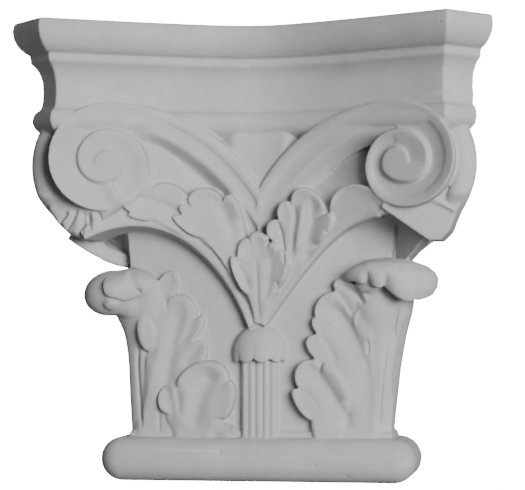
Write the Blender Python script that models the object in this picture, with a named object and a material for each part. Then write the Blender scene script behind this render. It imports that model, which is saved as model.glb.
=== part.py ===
"""Plaster capital of a pilaster: base roll, bell, acanthus leaves, corner volutes and abacus, cast as one.

X runs along the wall, -Y faces the room and +Z is up. Shapes are laid out by their place along the wall,
their reach in front of the bell face, and their height. The finished cast is then moved so that the
origin lies under the middle of its box.
"""
import math

import bmesh
import bpy
from mathutils import Vector

MM = 0.001

# Bell: the plain block that everything stands on, with sides that flare out under the scrolls
BELL_DEPTH = 32 * MM
BELL_HALF_FOOT = 68 * MM
BELL_HALF_NECK = 70 * MM
BELL_HALF_HEAD = 73 * MM
BELL_CORNER = 1.5 * MM
BELL_FLARE = 68.5 * MM

# Base roll, a half round run along the bell's foot, with a small fillet on it
ROLL_HEIGHT = 23.2 * MM
ROLL_REACH = 14 * MM
ROLL_OVERHANG = 15.9 * MM
ROLL_SHIFT = -1 * MM
FILLET_HEIGHT = 3 * MM
FILLET_REACH = 2.2 * MM

# Abacus: the moulded slab with two wings that sweep forward to cut-off horns, and hollow sides
TOTAL_HEIGHT = 240 * MM
ABACUS_HEIGHT = 58.5 * MM
ABACUS_HALF = 108.5 * MM
HORN_CUT = 8.2 * MM
HORN_TURN = math.radians(50)
WING_SET_BACK = 2.7 * MM
WING_BEND = 30 * MM
WING_SWEEP_FOOT = 0.56
WING_SWEEP_TOP = 0.62
SIDE_RETURN = 20 * MM
OVOLO_REACH = 15.8 * MM
OVOLO_HEIGHT = 16.5 * MM
BAND_REACH = 6.4 * MM
BAND_HEIGHT = 5.5 * MM
BEAD_REACH = 6.2 * MM
BEAD_HEIGHT = 14.2 * MM

# Volutes, their arms and the flanks behind them
EYE_X = 75.5 * MM
EYE_Z = 165.5 * MM
VOLUTE_RADIUS = 33 * MM
LEFT_SCROLL = (1.0, 0.83, 0.71, 0.60, 0.57, 0.40, 0.25, 0.20, 0.235, 0.18)
RIGHT_SCROLL = (0.97, 0.93, 0.67, 0.51, 0.52, 0.51, 0.27, 0.24, 0.245, 0.19)
TURN_STEP = 3 * MM
RIM_SHARE = 0.3
RIM_STEP = 0.9 * MM
ARM_MEETING = 153 * MM
ARM_FOOT = 130 * MM
SCROLL_LEAD = 8 * MM
ARM_DROP = 8 * MM
ARM_WALL = 1.3
ARM_SAG = 0.0121 / MM
FLANK_RADIUS = 41 * MM
FLANK_REACH = 29 * MM
FLANK_BAND = 6.5 * MM
FLARE_HEIGHT = 20 * MM
FLARE_SET_BACK = 8 * MM
BLOCK_REACH = 29.5 * MM
BLOCK_DROP = 39.5 * MM
BLOCK_FOOT = 6 * MM
PLEATS = 4
PLEAT_HALF = 5 * MM
PLEAT_REACH = 21.5 * MM
PLEAT_LENGTH = 39 * MM

# Ground between the arms and below them, in front of the abacus wings
HOLLOW_REACH = 21 * MM
HOLLOW_HEIGHT = 26 * MM
HOLLOW_EASE = 13 * MM
UPPER_HOLLOW_FOOT = 5.5 * MM
UPPER_HOLLOW_TOP = 1.6 * MM
LOWER_HOLLOW_TOP = -1.5 * MM
LOWER_HOLLOW_FOOT = 5.5 * MM

# Leaves
LOWER_LEAF_HEIGHT = 87 * MM
CURL_HEIGHT = 25 * MM
CURL_REACH = 40 * MM
CURL_LIFT = 6 * MM
CURL_SINK = 12 * MM
SPREAD_RISE = 8.5 * MM
SPREAD_WIDTH = 16 * MM
SPREAD_HALF = 87 * MM
SPREAD_REACH = 31 * MM
NOTCH_LIFT = 0.6
ROOT_LIFT = 0.35
ROOT_RISE = 0.65

# Fluted stalk with its cap
STALK_HALF = 9.5 * MM
STALK_REACH = 5.5 * MM
STALK_REEDS = 5
STALK_HEIGHT = 40 * MM
CAP_HALF = 14 * MM
CAP_HEIGHT = 17 * MM

# How finely curves are cut into flats
SIDE_STEPS = 4
CORNER_STEPS = 4
FRONT_STEPS = 7
ARM_STEPS = 9
LOBE_STEPS = 4
TURN_STEPS = 24
SINK = 4.3 * MM

PLASTER_COLOUR = (0.46, 0.46, 0.45, 1.0)
PLASTER_ROUGHNESS = 0.85

BELL_TOP = TOTAL_HEIGHT - ABACUS_HEIGHT
FLARE_FOOT = BELL_TOP - BELL_FLARE
FLARE_TOP = FLARE_FOOT + FLARE_HEIGHT
NECK_FOOT = ROLL_HEIGHT + FILLET_HEIGHT
STALK_TOP = NECK_FOOT + STALK_HEIGHT
CAP_TOP = STALK_TOP + CAP_HEIGHT
SPIRAL_STEPS = (len(LEFT_SCROLL) - 1) * TURN_STEPS // 4


def point(along, reach, height):
    """A place given along the wall, in front of the bell face, and up."""
    return Vector((along, -reach, height))


def blend(low, high, share):
    share = min(max(share, 0.0), 1.0)
    return low + (high - low) * share


def ease(share):
    share = min(max(share, 0.0), 1.0)
    return share * share * (3 - 2 * share)


def bezier(controls, share):
    """A point on the cubic curve through four control points."""
    rest = 1 - share
    weights = (rest ** 3, 3 * rest ** 2 * share, 3 * rest * share ** 2, share ** 3)
    return [sum(weight * control[i] for weight, control in zip(weights, controls)) for i in (0, 1)]


def smooth_run(points, steps):
    """A smooth run through the points, with so many steps from each to the next."""
    points = [Vector(values) for values in points]
    last = len(points) - 1
    run = []
    for i in range(last * steps + 1):
        k = min(i // steps, last - 1)
        share = i / steps - k
        before, start, end, after = (points[min(max(j, 0), last)] for j in (k - 1, k, k + 1, k + 2))
        curve = 2 * start + (end - before) * share
        curve += (2 * before - 5 * start + 4 * end - after) * share ** 2
        curve += (3 * start - before - 3 * end + after) * share ** 3
        run.append(curve / 2)
    return run


def new_object(name, bm):
    bmesh.ops.recalc_face_normals(bm, faces=bm.faces)
    mesh = bpy.data.meshes.new(name)
    bm.to_mesh(mesh)
    bm.free()
    item = bpy.data.objects.new(name, mesh)
    bpy.context.scene.collection.objects.link(item)
    return item


def loft(name, rings):
    """A closed solid through rings of equally many points, flat at both ends."""
    bm = bmesh.new()
    loops = [[bm.verts.new(place) for place in ring] for ring in rings]
    for lower, upper in zip(loops, loops[1:]):
        for i, start in enumerate(lower):
            j = (i + 1) % len(lower)
            bm.faces.new((start, lower[j], upper[j], upper[i]))
    bm.faces.new(loops[0])
    bm.faces.new(loops[-1])
    return new_object(name, bm)


def prism(name, outline, back, front):
    """A solid of one outline in the wall's plane, from a back reach to a front reach."""
    return loft(name, [[point(x, reach, z) for x, z in outline] for reach in (back, front)])


# Main block: base roll, bell, block behind the volutes and abacus

def level_ring(half, height, shift=0):
    """A ring at one height, from its right half that runs from the wall to the middle of the front."""
    ring = [(-x, reach) for x, reach in half] + [(x, reach) for x, reach in reversed(half[:-1])]
    return [point(x + shift, reach, height) for x, reach in ring]


def wing_sweep(height):
    """Slope of the wings, a little less at the foot of the abacus than at its top."""
    return blend(WING_SWEEP_FOOT, WING_SWEEP_TOP, (height - BELL_TOP) / (0.7 * ABACUS_HEIGHT))


def wing(x, sweep=WING_SWEEP_FOOT):
    """Reach of the abacus face: almost straight wings that bend softly in the middle."""
    return sweep * (math.hypot(x, WING_BEND) - WING_BEND) - WING_SET_BACK


def side_half(wall, side, reach):
    """The side of a block from the wall, hollow where the wall end stands further in."""
    points = []
    for i in range(SIDE_STEPS):
        share = i / SIDE_STEPS
        points.append((side - (side - wall) * (1 - share ** 2), blend(-BELL_DEPTH, reach, share)))
    return points


def round_corner(side, reach, radius, turn=math.pi / 2):
    """A round corner from the side to the front, as an arc round a centre."""
    turns = [turn * i / CORNER_STEPS for i in range(CORNER_STEPS + 1)]
    return [(side + radius * math.cos(angle), reach + radius * math.sin(angle)) for angle in turns]


def front_half(edge):
    """Places along the front, from beside its edge to the middle."""
    return [edge * (1 - i / FRONT_STEPS) for i in range(1, FRONT_STEPS + 1)]


def abacus_half(offset, height):
    """Half outline of the abacus, every face moved out by the offset and mitred at the horn."""
    sweep = wing_sweep(height)
    horn = ABACUS_HALF - HORN_CUT
    cut = (math.sin(HORN_TURN), math.cos(HORN_TURN))
    horn_line = horn * cut[0] + wing(horn, sweep) * cut[1] + offset
    front = []
    for start in [horn] + front_half(horn):
        slope = sweep * start / math.hypot(start, WING_BEND)
        x = start - offset * slope / math.hypot(1, slope)
        reach = wing(start, sweep) + offset / math.hypot(1, slope)
        if start == horn:
            gain = (horn_line - x * cut[0] - reach * cut[1]) / (cut[0] + slope * cut[1])
            x += gain
            reach += gain * slope
        front.append((x, reach))
    side = ABACUS_HALF + offset
    outer = Vector((side, (horn_line - side * cut[0]) / cut[1]))
    chamfer = [tuple(outer.lerp(Vector(front[0]), i / CORNER_STEPS)) for i in range(CORNER_STEPS)]
    return side_half(side - SIDE_RETURN, side, outer.y) + chamfer + front


def block_half(side, reach, radius):
    """Half outline of a plain block with a round corner."""
    half = side_half(side + radius, side + radius, reach) + round_corner(side, reach, radius)
    return half + [(x, reach + radius) for x in front_half(side)]


def flank_half(height):
    """Half width of the block behind a volute, round like the volute that it carries."""
    rise = min(abs(height - EYE_Z), FLANK_RADIUS)
    return EYE_X + math.sqrt(FLANK_RADIUS ** 2 - rise ** 2)


def flare_half(height):
    """Half outline where the bell's side flares out from its plain front corner."""
    share = (height - FLARE_FOOT) / FLARE_HEIGHT
    corner = blend(BELL_HALF_NECK, BELL_HALF_HEAD, share)
    widest = blend(BELL_HALF_NECK, flank_half(FLARE_TOP), share ** 0.85)
    wall = blend(BELL_HALF_NECK, flank_half(FLARE_TOP) - SIDE_RETURN, share)
    half = side_half(wall, widest, -FLARE_SET_BACK)
    for i in range(CORNER_STEPS + 1):
        across = i / CORNER_STEPS
        half.append((blend(widest, corner, across), blend(-FLARE_SET_BACK, 0, across ** 0.7)))
    return half + [(x, 0) for x in front_half(corner)]


def hollow_reach(x, height):
    """Reach of the ground behind the arms: a shallow hollow above them and a deeper one below."""
    arm = BELL_TOP + BEAD_HEIGHT / 3 - ARM_SAG * (EYE_X - min(x, EYE_X)) ** 2
    above = blend(UPPER_HOLLOW_FOOT, UPPER_HOLLOW_TOP, (height - ARM_MEETING) / (BELL_TOP - ARM_MEETING))
    below = blend(LOWER_HOLLOW_TOP, LOWER_HOLLOW_FOOT, (arm - height) / HOLLOW_HEIGHT)
    ground = wing(x) + blend(above, below, ease((x - HOLLOW_EASE) / HOLLOW_EASE))
    return min(ground, HOLLOW_REACH) * ease((height - FLARE_TOP) / HOLLOW_EASE)


def head_half(side, height):
    """Half outline behind the volutes: a round flank band, and between the bands the hollow ground."""
    middle = side - FLANK_BAND
    reach = blend(0, FLANK_REACH, 0.45 + (height - FLARE_TOP) / (30 * MM))
    half = side_half(side - SIDE_RETURN, side, reach)
    half += round_corner(middle, reach, FLANK_BAND, math.radians(140))
    return half + [(x, hollow_reach(x, height)) for x in front_half(middle - 0.8 * FLANK_BAND)]


def roll_levels():
    radius = ROLL_HEIGHT / 2
    side = BELL_HALF_FOOT + ROLL_OVERHANG - radius
    steps = 8
    for i in range(steps + 1):
        angle = math.pi * (i / steps - 0.5)
        swell = max(radius * math.cos(angle), 0.15 * radius)
        half = block_half(side, ROLL_REACH - radius, swell)
        yield level_ring(half, radius + radius * math.sin(angle), ROLL_SHIFT)
    for reach, share in ((FILLET_REACH, 0.1), (FILLET_REACH, 0.75), (0.2 * FILLET_REACH, 1.0)):
        half = block_half(BELL_HALF_FOOT + reach - BELL_CORNER, reach - BELL_CORNER, BELL_CORNER)
        yield level_ring(half, ROLL_HEIGHT + FILLET_HEIGHT * share)


def bell_levels():
    for share in (0, 0.2, 0.45, 0.7, 1.0):
        height = blend(FLARE_FOOT, FLARE_TOP, share)
        yield level_ring(flare_half(height), height)


def head_levels():
    steps = 7
    for i in range(steps + 1):
        height = blend(FLARE_TOP + 4 * MM, BELL_TOP - 1 * MM, i / steps)
        yield level_ring(head_half(flank_half(height), height), height)


def abacus_levels():
    for reach, rise in ((-0.16, 0), (0.4, 0.12), (0.8, 0.28), (1, 0.47), (0.92, 0.7), (0.6, 0.89), (0.2, 1)):
        height = BELL_TOP + BEAD_HEIGHT * rise
        yield level_ring(abacus_half(BEAD_REACH * reach, height), height)
    band_top = TOTAL_HEIGHT - OVOLO_HEIGHT
    band_foot = band_top - BAND_HEIGHT
    face_foot = BELL_TOP + BEAD_HEIGHT
    for offset, height in (
        (0.0, blend(face_foot, band_foot, 0.4)),
        (0.06 * BAND_REACH, blend(face_foot, band_foot, 0.7)),
        (0.35 * BAND_REACH, blend(face_foot, band_foot, 0.87)),
        (0.95 * BAND_REACH, band_foot + 0.15 * BAND_HEIGHT),
        (BAND_REACH, band_top),
        (blend(BAND_REACH, OVOLO_REACH, 0.5), band_top + 0.14 * OVOLO_HEIGHT),
        (blend(BAND_REACH, OVOLO_REACH, 0.83), band_top + 0.4 * OVOLO_HEIGHT),
        (OVOLO_REACH, band_top + 0.7 * OVOLO_HEIGHT),
        (blend(BAND_REACH, OVOLO_REACH, 0.96), band_top + 0.86 * OVOLO_HEIGHT),
        (blend(BAND_REACH, OVOLO_REACH, 0.83), TOTAL_HEIGHT),
    ):
        yield level_ring(abacus_half(offset, height), height)


def main_block():
    rings = list(roll_levels()) + list(bell_levels()) + list(head_levels()) + list(abacus_levels())
    return loft("capital", rings)


# Volutes with their arms

def scroll_reach(x):
    """Reach of a scroll and its arm, which lie along the abacus wing and stand in front of it."""
    return wing(x) + SCROLL_LEAD


def scroll_radii(side):
    """Radii of the spiral edge at each step of its turns, smooth through the value at each quarter turn."""
    shares = RIGHT_SCROLL if side > 0 else LEFT_SCROLL
    return [VOLUTE_RADIUS * spot.x for spot in smooth_run([(share, 0) for share in shares], TURN_STEPS // 4)]


def arm_row(share, side):
    """Points across an arm, from its upper edge to its lower edge, at a share of the way to the volute."""
    radii = scroll_radii(side)
    crown = EYE_Z + radii[0]
    throat = EYE_Z + radii[TURN_STEPS]
    upper = bezier(((-1 * MM, ARM_MEETING), (0.2 * EYE_X, blend(ARM_MEETING, crown, 0.64)),
                    (0.53 * EYE_X, crown), (EYE_X, crown)), share)
    lower = bezier(((-1 * MM, ARM_FOOT), (0.32 * EYE_X, blend(ARM_FOOT, throat, 0.7)),
                    (0.66 * EYE_X, throat + 0.12 * VOLUTE_RADIUS), (EYE_X, throat)), share)
    merge = ease(share * 2.5 - 1.5)
    width = blend(ARM_WALL, 1, merge)
    row = []
    for across, sink in ((-0.04, TURN_STEP), (0, 0), (0.38, 0), (0.46, RIM_STEP),
                         (blend(0.95, 0.7, merge), blend(RIM_STEP, TURN_STEP, merge)),
                         (width, blend(ARM_DROP, TURN_STEP, merge))):
        x = upper[0] + (lower[0] - upper[0]) * across
        row.append(point(side * x, scroll_reach(x) - sink, upper[1] + (lower[1] - upper[1]) * across))
    return row


def step_height(step):
    """Height of the step at the spiral edge, which fades out at the end of the spiral."""
    return TURN_STEP * min(1.0, 0.1 + 3.0 * (1 - step / SPIRAL_STEPS))


def spiral_row(step, side):
    """Points across one turn of the spiral, without the inner edge that the next turn gives."""
    angle = 2 * math.pi * step / TURN_STEPS
    radii = scroll_radii(side)
    outer = radii[step]
    inner, hollow = 0.0, 0.0
    if step + TURN_STEPS <= SPIRAL_STEPS:
        inner = radii[step + TURN_STEPS]
        hollow = step_height(step + TURN_STEPS)
    row = []
    for across, sink in ((0, step_height(step)), (0, 0), (RIM_SHARE, 0), (RIM_SHARE + 0.06, 0.3 * hollow),
                         (0.8, hollow)):
        radius = blend(outer, inner, across)
        x = EYE_X + radius * math.sin(angle)
        row.append(point(side * x, scroll_reach(x) - sink, EYE_Z + radius * math.cos(angle)))
    return row


def volute(side):
    """Snail-like scroll and its arm: each turn stands a step above the channel of the turn outside it."""
    bm = bmesh.new()
    rows = [arm_row(i / ARM_STEPS, side) for i in range(ARM_STEPS)]
    rows += [spiral_row(i, side) for i in range(SPIRAL_STEPS + 1)]
    verts = [[bm.verts.new(place) for place in row] for row in rows]
    eye = bm.verts.new(point(side * EYE_X, scroll_reach(EYE_X), EYE_Z))

    def inner(k):
        if k < ARM_STEPS:
            return verts[k][-1]
        return verts[k + TURN_STEPS][0] if k + TURN_STEPS < len(verts) else eye

    width = len(verts[-1])
    for k in range(len(verts) - 1):
        for j in range(width - 1):
            bm.faces.new((verts[k][j], verts[k][j + 1], verts[k + 1][j + 1], verts[k + 1][j]))
        near, hub = verts[k][width - 1], verts[k + 1][width - 1]
        if inner(k) is verts[-1][0]:
            end = [near] + verts[-1] + [eye]
            for start, stop in zip(end, end[1:]):
                bm.faces.new((start, stop, hub))
        elif inner(k) is inner(k + 1):
            bm.faces.new((near, eye, hub))
        else:
            bm.faces.new((near, inner(k), inner(k + 1), hub))
    rim = [edge for edge in bm.edges if edge.is_boundary]
    wall = bmesh.ops.extrude_edge_only(bm, edges=rim)["geom"]
    for vert in (item for item in wall if isinstance(item, bmesh.types.BMVert)):
        vert.co.y = 1.5 * SINK
    bmesh.ops.holes_fill(bm, edges=[edge for edge in bm.edges if edge.is_boundary])
    return new_object("volute", bm)


def under_volute(side):
    """Below each scroll: a plain bevelled block on the right, a pleated fan of leaf on the left."""
    foot = EYE_Z - BLOCK_DROP
    outer = EYE_X + 0.77 * FLANK_RADIUS
    if side > 0:
        outline = [(0.89 * EYE_X, foot + 0.43 * BLOCK_DROP), (outer - 2.5 * BLOCK_FOOT, foot),
                   (outer - 1.5 * BLOCK_FOOT, foot), (outer - 0.7 * BLOCK_FOOT, foot + 0.8 * BLOCK_FOOT),
                   (outer, foot + 2.5 * BLOCK_FOOT), (outer - BLOCK_FOOT, EYE_Z), (EYE_X, EYE_Z)]
        return [prism("under_volute", outline, -SINK, BLOCK_REACH)]
    pleats = []
    for i in range(PLEATS):
        turn = math.radians(12 + 17 * i)
        root = (-EYE_X - 0.2 * PLEAT_LENGTH * i, EYE_Z - PLEAT_LENGTH * (0.5 - 0.08 * i))
        tip = (-EYE_X - PLEAT_LENGTH * math.sin(turn), EYE_Z - PLEAT_LENGTH * math.cos(turn))
        pleats.append(pleat(root, tip))
    return pleats


def pleat(root, tip):
    """One fold of the fan: a rounded finger that stands on the block behind it."""
    root, tip = Vector(root), Vector(tip)
    across = Vector((tip.y - root.y, root.x - tip.x)).normalized() * PLEAT_HALF
    rings = []
    for share, width, crest in ((0, 0.7, 0.6), (0.4, 1.0, 1.0), (0.8, 0.85, 0.9), (1.0, 0.35, 0.5)):
        spine = root.lerp(tip, share)
        ring = []
        for offset, lift in ((-1, None), (-1, 0.2), (-0.6, 0.85), (0, 1), (0.6, 0.85), (1, 0.2), (1, None)):
            spot = spine + across * (offset * width)
            reach = -SINK if lift is None else PLEAT_REACH + PLEAT_HALF * crest * lift
            ring.append(point(spot.x, reach, spot.y))
        rings.append(ring)
    return loft("pleat", rings)


# Leaves

def front_place(x, reach, height):
    return point(x, reach, height)


def spread_place(x, reach, height):
    """A place on the leaves that spread from the stalk and come forward under the scrolls."""
    return point(x, reach + SPREAD_REACH * (x / SPREAD_HALF) ** 2, height)


def flank_place(side):
    """Places on a side face of the bell, counted back from its front corner."""
    def place(back, reach, height):
        half = blend(BELL_HALF_FOOT, BELL_HALF_NECK, height / FLARE_FOOT)
        return point(side * (half + reach), -back, height)
    return place


def leaf_edge(root, half_root, points, bows):
    """Edge of a leaf with each spot's lift. Between two notches a lobe is half an ellipse out to its tip."""
    edge = [(points[0], NOTCH_LIFT)]
    for start, tip, end in zip(points[::2], points[1::2], points[2::2]):
        centre = (start + end) / 2
        for i in range(1, LOBE_STEPS + 1):
            turn = math.pi * i / LOBE_STEPS
            near = start if 2 * i <= LOBE_STEPS else end
            spot = centre + (near - centre) * abs(math.cos(turn)) + (tip - centre) * math.sin(turn)
            edge.append((spot, 1.0 if i < LOBE_STEPS else NOTCH_LIFT))
    for side, end, bow in ((1, points[-1], bows[1]), (-1, points[0], bows[0])):
        across = Vector(((end - root).y, (root - end).x)) * side
        foot = root + across.normalized() * half_root
        flank = [(foot.lerp(end, 0.5) + across * bow, 1.0), (foot, ROOT_LIFT)]
        edge += flank if side > 0 else reversed(flank)
    return edge


def leaflet(root, half_root, points, bows, rise, sink=SINK, place=front_place):
    """A lobed pad of leaf with a steep edge, furrows from its notches and a hollow along its middle."""
    edge = leaf_edge(root, half_root, points, bows)
    tips = points[1::2]
    heart = root.lerp(sum(tips, Vector((0, 0))) / len(tips), 0.75)
    spine = heart - root
    rings = []
    for inward, lift in ((0.0, None), (0.0, 0.45), (0.06, 0.9), (0.35, 1.0), (0.8, 0.8)):
        ring = []
        for spot, own in edge:
            along = min(max((spot - root).dot(spine) / spine.length_squared, 0.1), 1.0)
            own = blend(own, 1.0, inward / 0.35) * blend(ROOT_RISE, 1.0, 2.5 * along)
            level = -sink if lift is None else rise * lift * own
            spot = spot.lerp(root + spine * along, inward)
            ring.append(place(spot.x, level, spot.y))
        rings.append(ring)
    return loft("leaflet", rings)


def lobed_leaves(leaves, scale_x, foot, height, place=front_place):
    """Leaflets listed by root, half width there, bow of both sides, rise in mm, notches and tips by turns."""
    parts = []
    for root, half_root, bows, rise, points in leaves:
        points = [Vector((x * scale_x, foot + z * height)) for x, z in points]
        start = Vector((root[0] * scale_x, foot + root[1] * height))
        parts.append(leaflet(start, half_root * scale_x, points, bows, rise * MM, place=place))
    return parts


def lower_leaves():
    """Leaflets beside the corners of the bell, as shares of its half width and of the leaf's height."""
    leaves = (
        ((-0.76, 0.0), 0.11, (-0.01, 0.03), 6.0,
         ((-0.86, 0.34), (-0.91, 0.71), (-0.80, 0.66), (-0.77, 0.79), (-0.69, 0.79), (-0.54, 0.83),
          (-0.47, 0.70), (-0.41, 0.66), (-0.52, 0.53), (-0.38, 0.52), (-0.49, 0.39))),
        ((-0.51, 0.0), 0.17, (0.06, 0.08), 8.5,
         ((-0.71, 0.06), (-0.77, 0.23), (-0.66, 0.27), (-0.57, 0.39), (-0.49, 0.37), (-0.30, 0.45),
          (-0.22, 0.27), (-0.17, 0.19), (-0.31, 0.06))),
        ((0.74, 0.0), 0.13, (0.03, 0.02), 6.0,
         ((0.49, 0.42), (0.36, 0.54), (0.47, 0.58), (0.39, 0.65), (0.44, 0.69), (0.46, 0.84),
          (0.59, 0.84), (0.64, 0.95), (0.79, 0.76))),
        ((0.51, 0.0), 0.16, (0.03, 0.06), 8.5,
         ((0.25, 0.04), (0.24, 0.08), (0.32, 0.12), (0.21, 0.23), (0.30, 0.27), (0.26, 0.42),
          (0.44, 0.39), (0.54, 0.42), (0.65, 0.29))),
    )
    return lobed_leaves(leaves, BELL_HALF_NECK, NECK_FOOT, LOWER_LEAF_HEIGHT)


def flank_leaves(side):
    """Side of the lower leaf, folded back along the bell towards the wall, as shares of the bell's depth."""
    leaves = (
        ((0.30, 0.0), 0.26, (0.02, 0.02), 4.5,
         ((0.06, 0.50), (0.22, 0.86), (0.41, 0.66), (0.61, 0.73), (0.70, 0.50), (0.84, 0.48),
          (0.78, 0.22))),
    )
    return lobed_leaves(leaves, BELL_DEPTH, NECK_FOOT, LOWER_LEAF_HEIGHT, flank_place(side))


def corner_neck(side):
    """Stem of the corner leaf, wrapped round the corner of the bell, that flares out into its head."""
    rings = []
    for height, width, rise in ((0.0, 9, 1.2), (0.35, 9.5, 1.6), (0.57, 11, 2.8), (0.7, 13, 5),
                                (0.82, 17, 8.5), (0.9, 18, 10), (0.96, 14, 7)):
        level = NECK_FOOT + height * LOWER_LEAF_HEIGHT
        half = blend(BELL_HALF_FOOT, BELL_HALF_NECK, height)
        width, rise = width * MM, rise * MM
        outline = ((half - width - SINK, -SINK), (half - width, 0.4 * rise),
                   (half - 0.5 * width, 0.85 * rise), (half - 0.2 * width, rise),
                   (half + 0.55 * rise, 0.75 * rise), (half + 0.9 * rise, 0.2 * rise),
                   (half + rise, -0.3 * width), (half + 0.5 * rise, -1.1 * width),
                   (half - SINK, -1.3 * width))
        rings.append([point(side * x, reach, level) for x, reach in outline])
    return loft("corner_neck", rings)


def corner_curl(side):
    """Head of the corner leaf: it rolls outward over the corner and ends in a lobed lip that hangs."""
    middle = NECK_FOOT + LOWER_LEAF_HEIGHT - CURL_HEIGHT / 2 + (CURL_LIFT if side > 0 else 0)
    section = ((0.12, -0.6), (0.4, -0.25), (0.58, -0.24), (0.72, -0.36), (0.84, -0.48), (0.95, -0.4),
               (1.0, -0.08), (0.95, 0.22), (0.82, 0.4), (0.6, 0.5), (0.12, 0.42))
    right = ((-70, 0.3, 0.1, 0.05), (-48, 0.48, 0.12, 0.2), (-25, 0.62, 0.02, 0.42), (0, 0.74, -0.1, 0.52),
             (22, 0.86, -0.26, 0.54), (45, 0.98, -0.46, 0.52), (66, 1.0, -0.46, 0.44), (90, 0.88, -0.3, 0.32),
             (115, 0.66, -0.15, 0.2), (140, 0.4, -0.05, 0.1))
    left = ((-70, 0.3, 0.3, 0.1), (-48, 0.42, 0.28, 0.35), (-25, 0.5, 0.2, 0.46), (0, 0.58, 0.05, 0.5),
            (22, 0.72, -0.16, 0.5), (45, 0.9, -0.46, 0.48), (66, 0.96, -0.5, 0.36), (90, 0.86, -0.36, 0.26),
            (115, 0.66, -0.15, 0.2), (140, 0.4, -0.05, 0.1))
    lobe_turn = 23 if side > 0 else 40
    rings = []
    for turn, share, foot, top in smooth_run(right if side > 0 else left, 3):
        angle = math.radians(turn)
        lobe = abs(math.sin(math.pi * turn / lobe_turn)) - 0.6
        ring = []
        for radius, rise in section:
            away = CURL_REACH * share * radius * (1 + 0.04 * lobe)
            low = foot - 0.1 * lobe * ease((radius - 0.5) / 0.4)
            level = blend(low, top, rise + 0.5) if rise > -0.5 else low + rise + 0.5
            ring.append(point(side * (BELL_HALF_NECK - CURL_SINK + away * math.sin(angle)),
                              away * math.cos(angle) - 0.8 * CURL_SINK, middle + CURL_HEIGHT * level))
        rings.append(ring)
    return loft("corner_curl", rings)


def spread_leaf(side):
    """Long leaf that springs from the stalk and sweeps out below the scroll, thickest at its lower edge."""
    if side > 0:
        controls = ((0.046, 0.0), (0.216, 0.24), (0.543, 0.815), (0.873, 0.785))
    else:
        controls = ((0.07, 0.0), (0.223, 0.46), (0.649, 0.964), (1.143, 0.629))
    steps = 11
    edge = []
    for i in range(steps + 1):
        x, z = bezier(controls, i / steps)
        edge.append(Vector((side * x * EYE_X, blend(CAP_TOP - 2 * MM, ARM_MEETING, z))))
    rings = []
    for i, spot in enumerate(edge):
        along = (edge[min(i + 1, steps)] - edge[max(i - 1, 0)]).normalized()
        up = Vector((-side * along.y, side * along.x))
        width = SPREAD_WIDTH * blend(0.3, 1, 3 * i / steps) * blend(1, 0.6, (i / steps - 0.7) / 0.3)
        ring = []
        for across, lift in ((0, None), (0, 0.7), (0.05, 0.92), (0.15, 1.0), (0.35, 0.97), (0.7, 0.85),
                             (1, 0.6), (1, None)):
            place = spot + up * (across * width)
            lean = SPREAD_REACH * (place.x / SPREAD_HALF) ** 2
            reach = 0.6 * lean - SINK if lift is None else lean + SPREAD_RISE * lift
            ring.append(point(place.x, reach, place.y))
        rings.append(ring)
    return loft("spread_leaf", rings)


def upper_leaves():
    """Leaves above these, as shares of the eye's distance from the middle and of the height to the arms."""
    leaves = (
        ((-0.38, 0.61), 0.05, (0.0, 0.03), 10,
         ((-0.73, 0.77), (-0.86, 0.80), (-0.83, 0.84), (-0.90, 0.89), (-0.81, 0.96), (-0.75, 1.05),
          (-0.71, 0.99), (-0.61, 1.06), (-0.48, 0.94))),
        ((0.36, 0.58), 0.05, (0.03, -0.06), 10,
         ((0.48, 0.83), (0.64, 1.05), (0.82, 0.91), (0.93, 0.84), (0.79, 0.80))),
        ((-0.09, 0.21), 0.05, (-0.07, 0.02), 11,
         ((-0.41, 0.64), (-0.58, 0.78), (-0.50, 0.81), (-0.54, 0.89), (-0.48, 0.89), (-0.38, 1.03),
          (-0.23, 0.89), (-0.17, 0.96), (-0.11, 0.79))),
        ((0.12, 0.24), 0.05, (0.02, -0.07), 11,
         ((0.08, 0.63), (0.09, 0.81), (0.15, 0.79), (0.19, 0.94), (0.25, 0.90), (0.35, 1.05),
          (0.50, 0.77))),
        ((-0.01, 0.01), 0.05, (0.0, 0.0), 13.0,
         ((-0.11, 0.24), (-0.21, 0.46), (-0.13, 0.48), (-0.15, 0.63), (-0.07, 0.63), (0.01, 0.70),
          (0.09, 0.63), (0.15, 0.56), (0.12, 0.31))),
    )
    return lobed_leaves(leaves, EYE_X, CAP_TOP, ARM_MEETING - CAP_TOP, spread_place)


def stalk():
    """Reeded stalk: rounded reeds side by side on a flat half column."""
    outline = [(STALK_HALF, -SINK)]
    steps = STALK_REEDS * 2
    for i in range(steps + 1):
        x = STALK_HALF * (1 - 2 * i / steps)
        swell = STALK_REACH * (0.75 + 0.25 * math.sqrt(1 - (x / STALK_HALF) ** 2))
        outline.append((x, swell if i % 2 else swell * 0.75))
    outline.append((-STALK_HALF, -SINK))
    foot, top = NECK_FOOT - 1 * MM, STALK_TOP + 2 * MM
    return loft("stalk", [[point(x, reach, height) for x, reach in outline] for height in (foot, top)])


def stalk_cap():
    """Domed cap on the stalk with a scalloped lower edge."""
    rings = []
    steps = 14
    for share, height in ((0.78, 0.05), (0.97, 0.0), (1.0, 0.2), (0.95, 0.46), (0.8, 0.7), (0.5, 0.91),
                          (0.14, 1.0)):
        ring = []
        for i in range(steps):
            angle = 2 * math.pi * (i + 0.3) / steps
            scallop = 1 + 0.05 * math.cos(5 * angle) * (1 - height)
            radius = CAP_HALF * share * scallop
            ring.append(point(radius * math.cos(angle), 0.68 * radius * math.sin(angle),
                              STALK_TOP + CAP_HEIGHT * height))
        rings.append(ring)
    return loft("stalk_cap", rings)


# The cast

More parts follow.
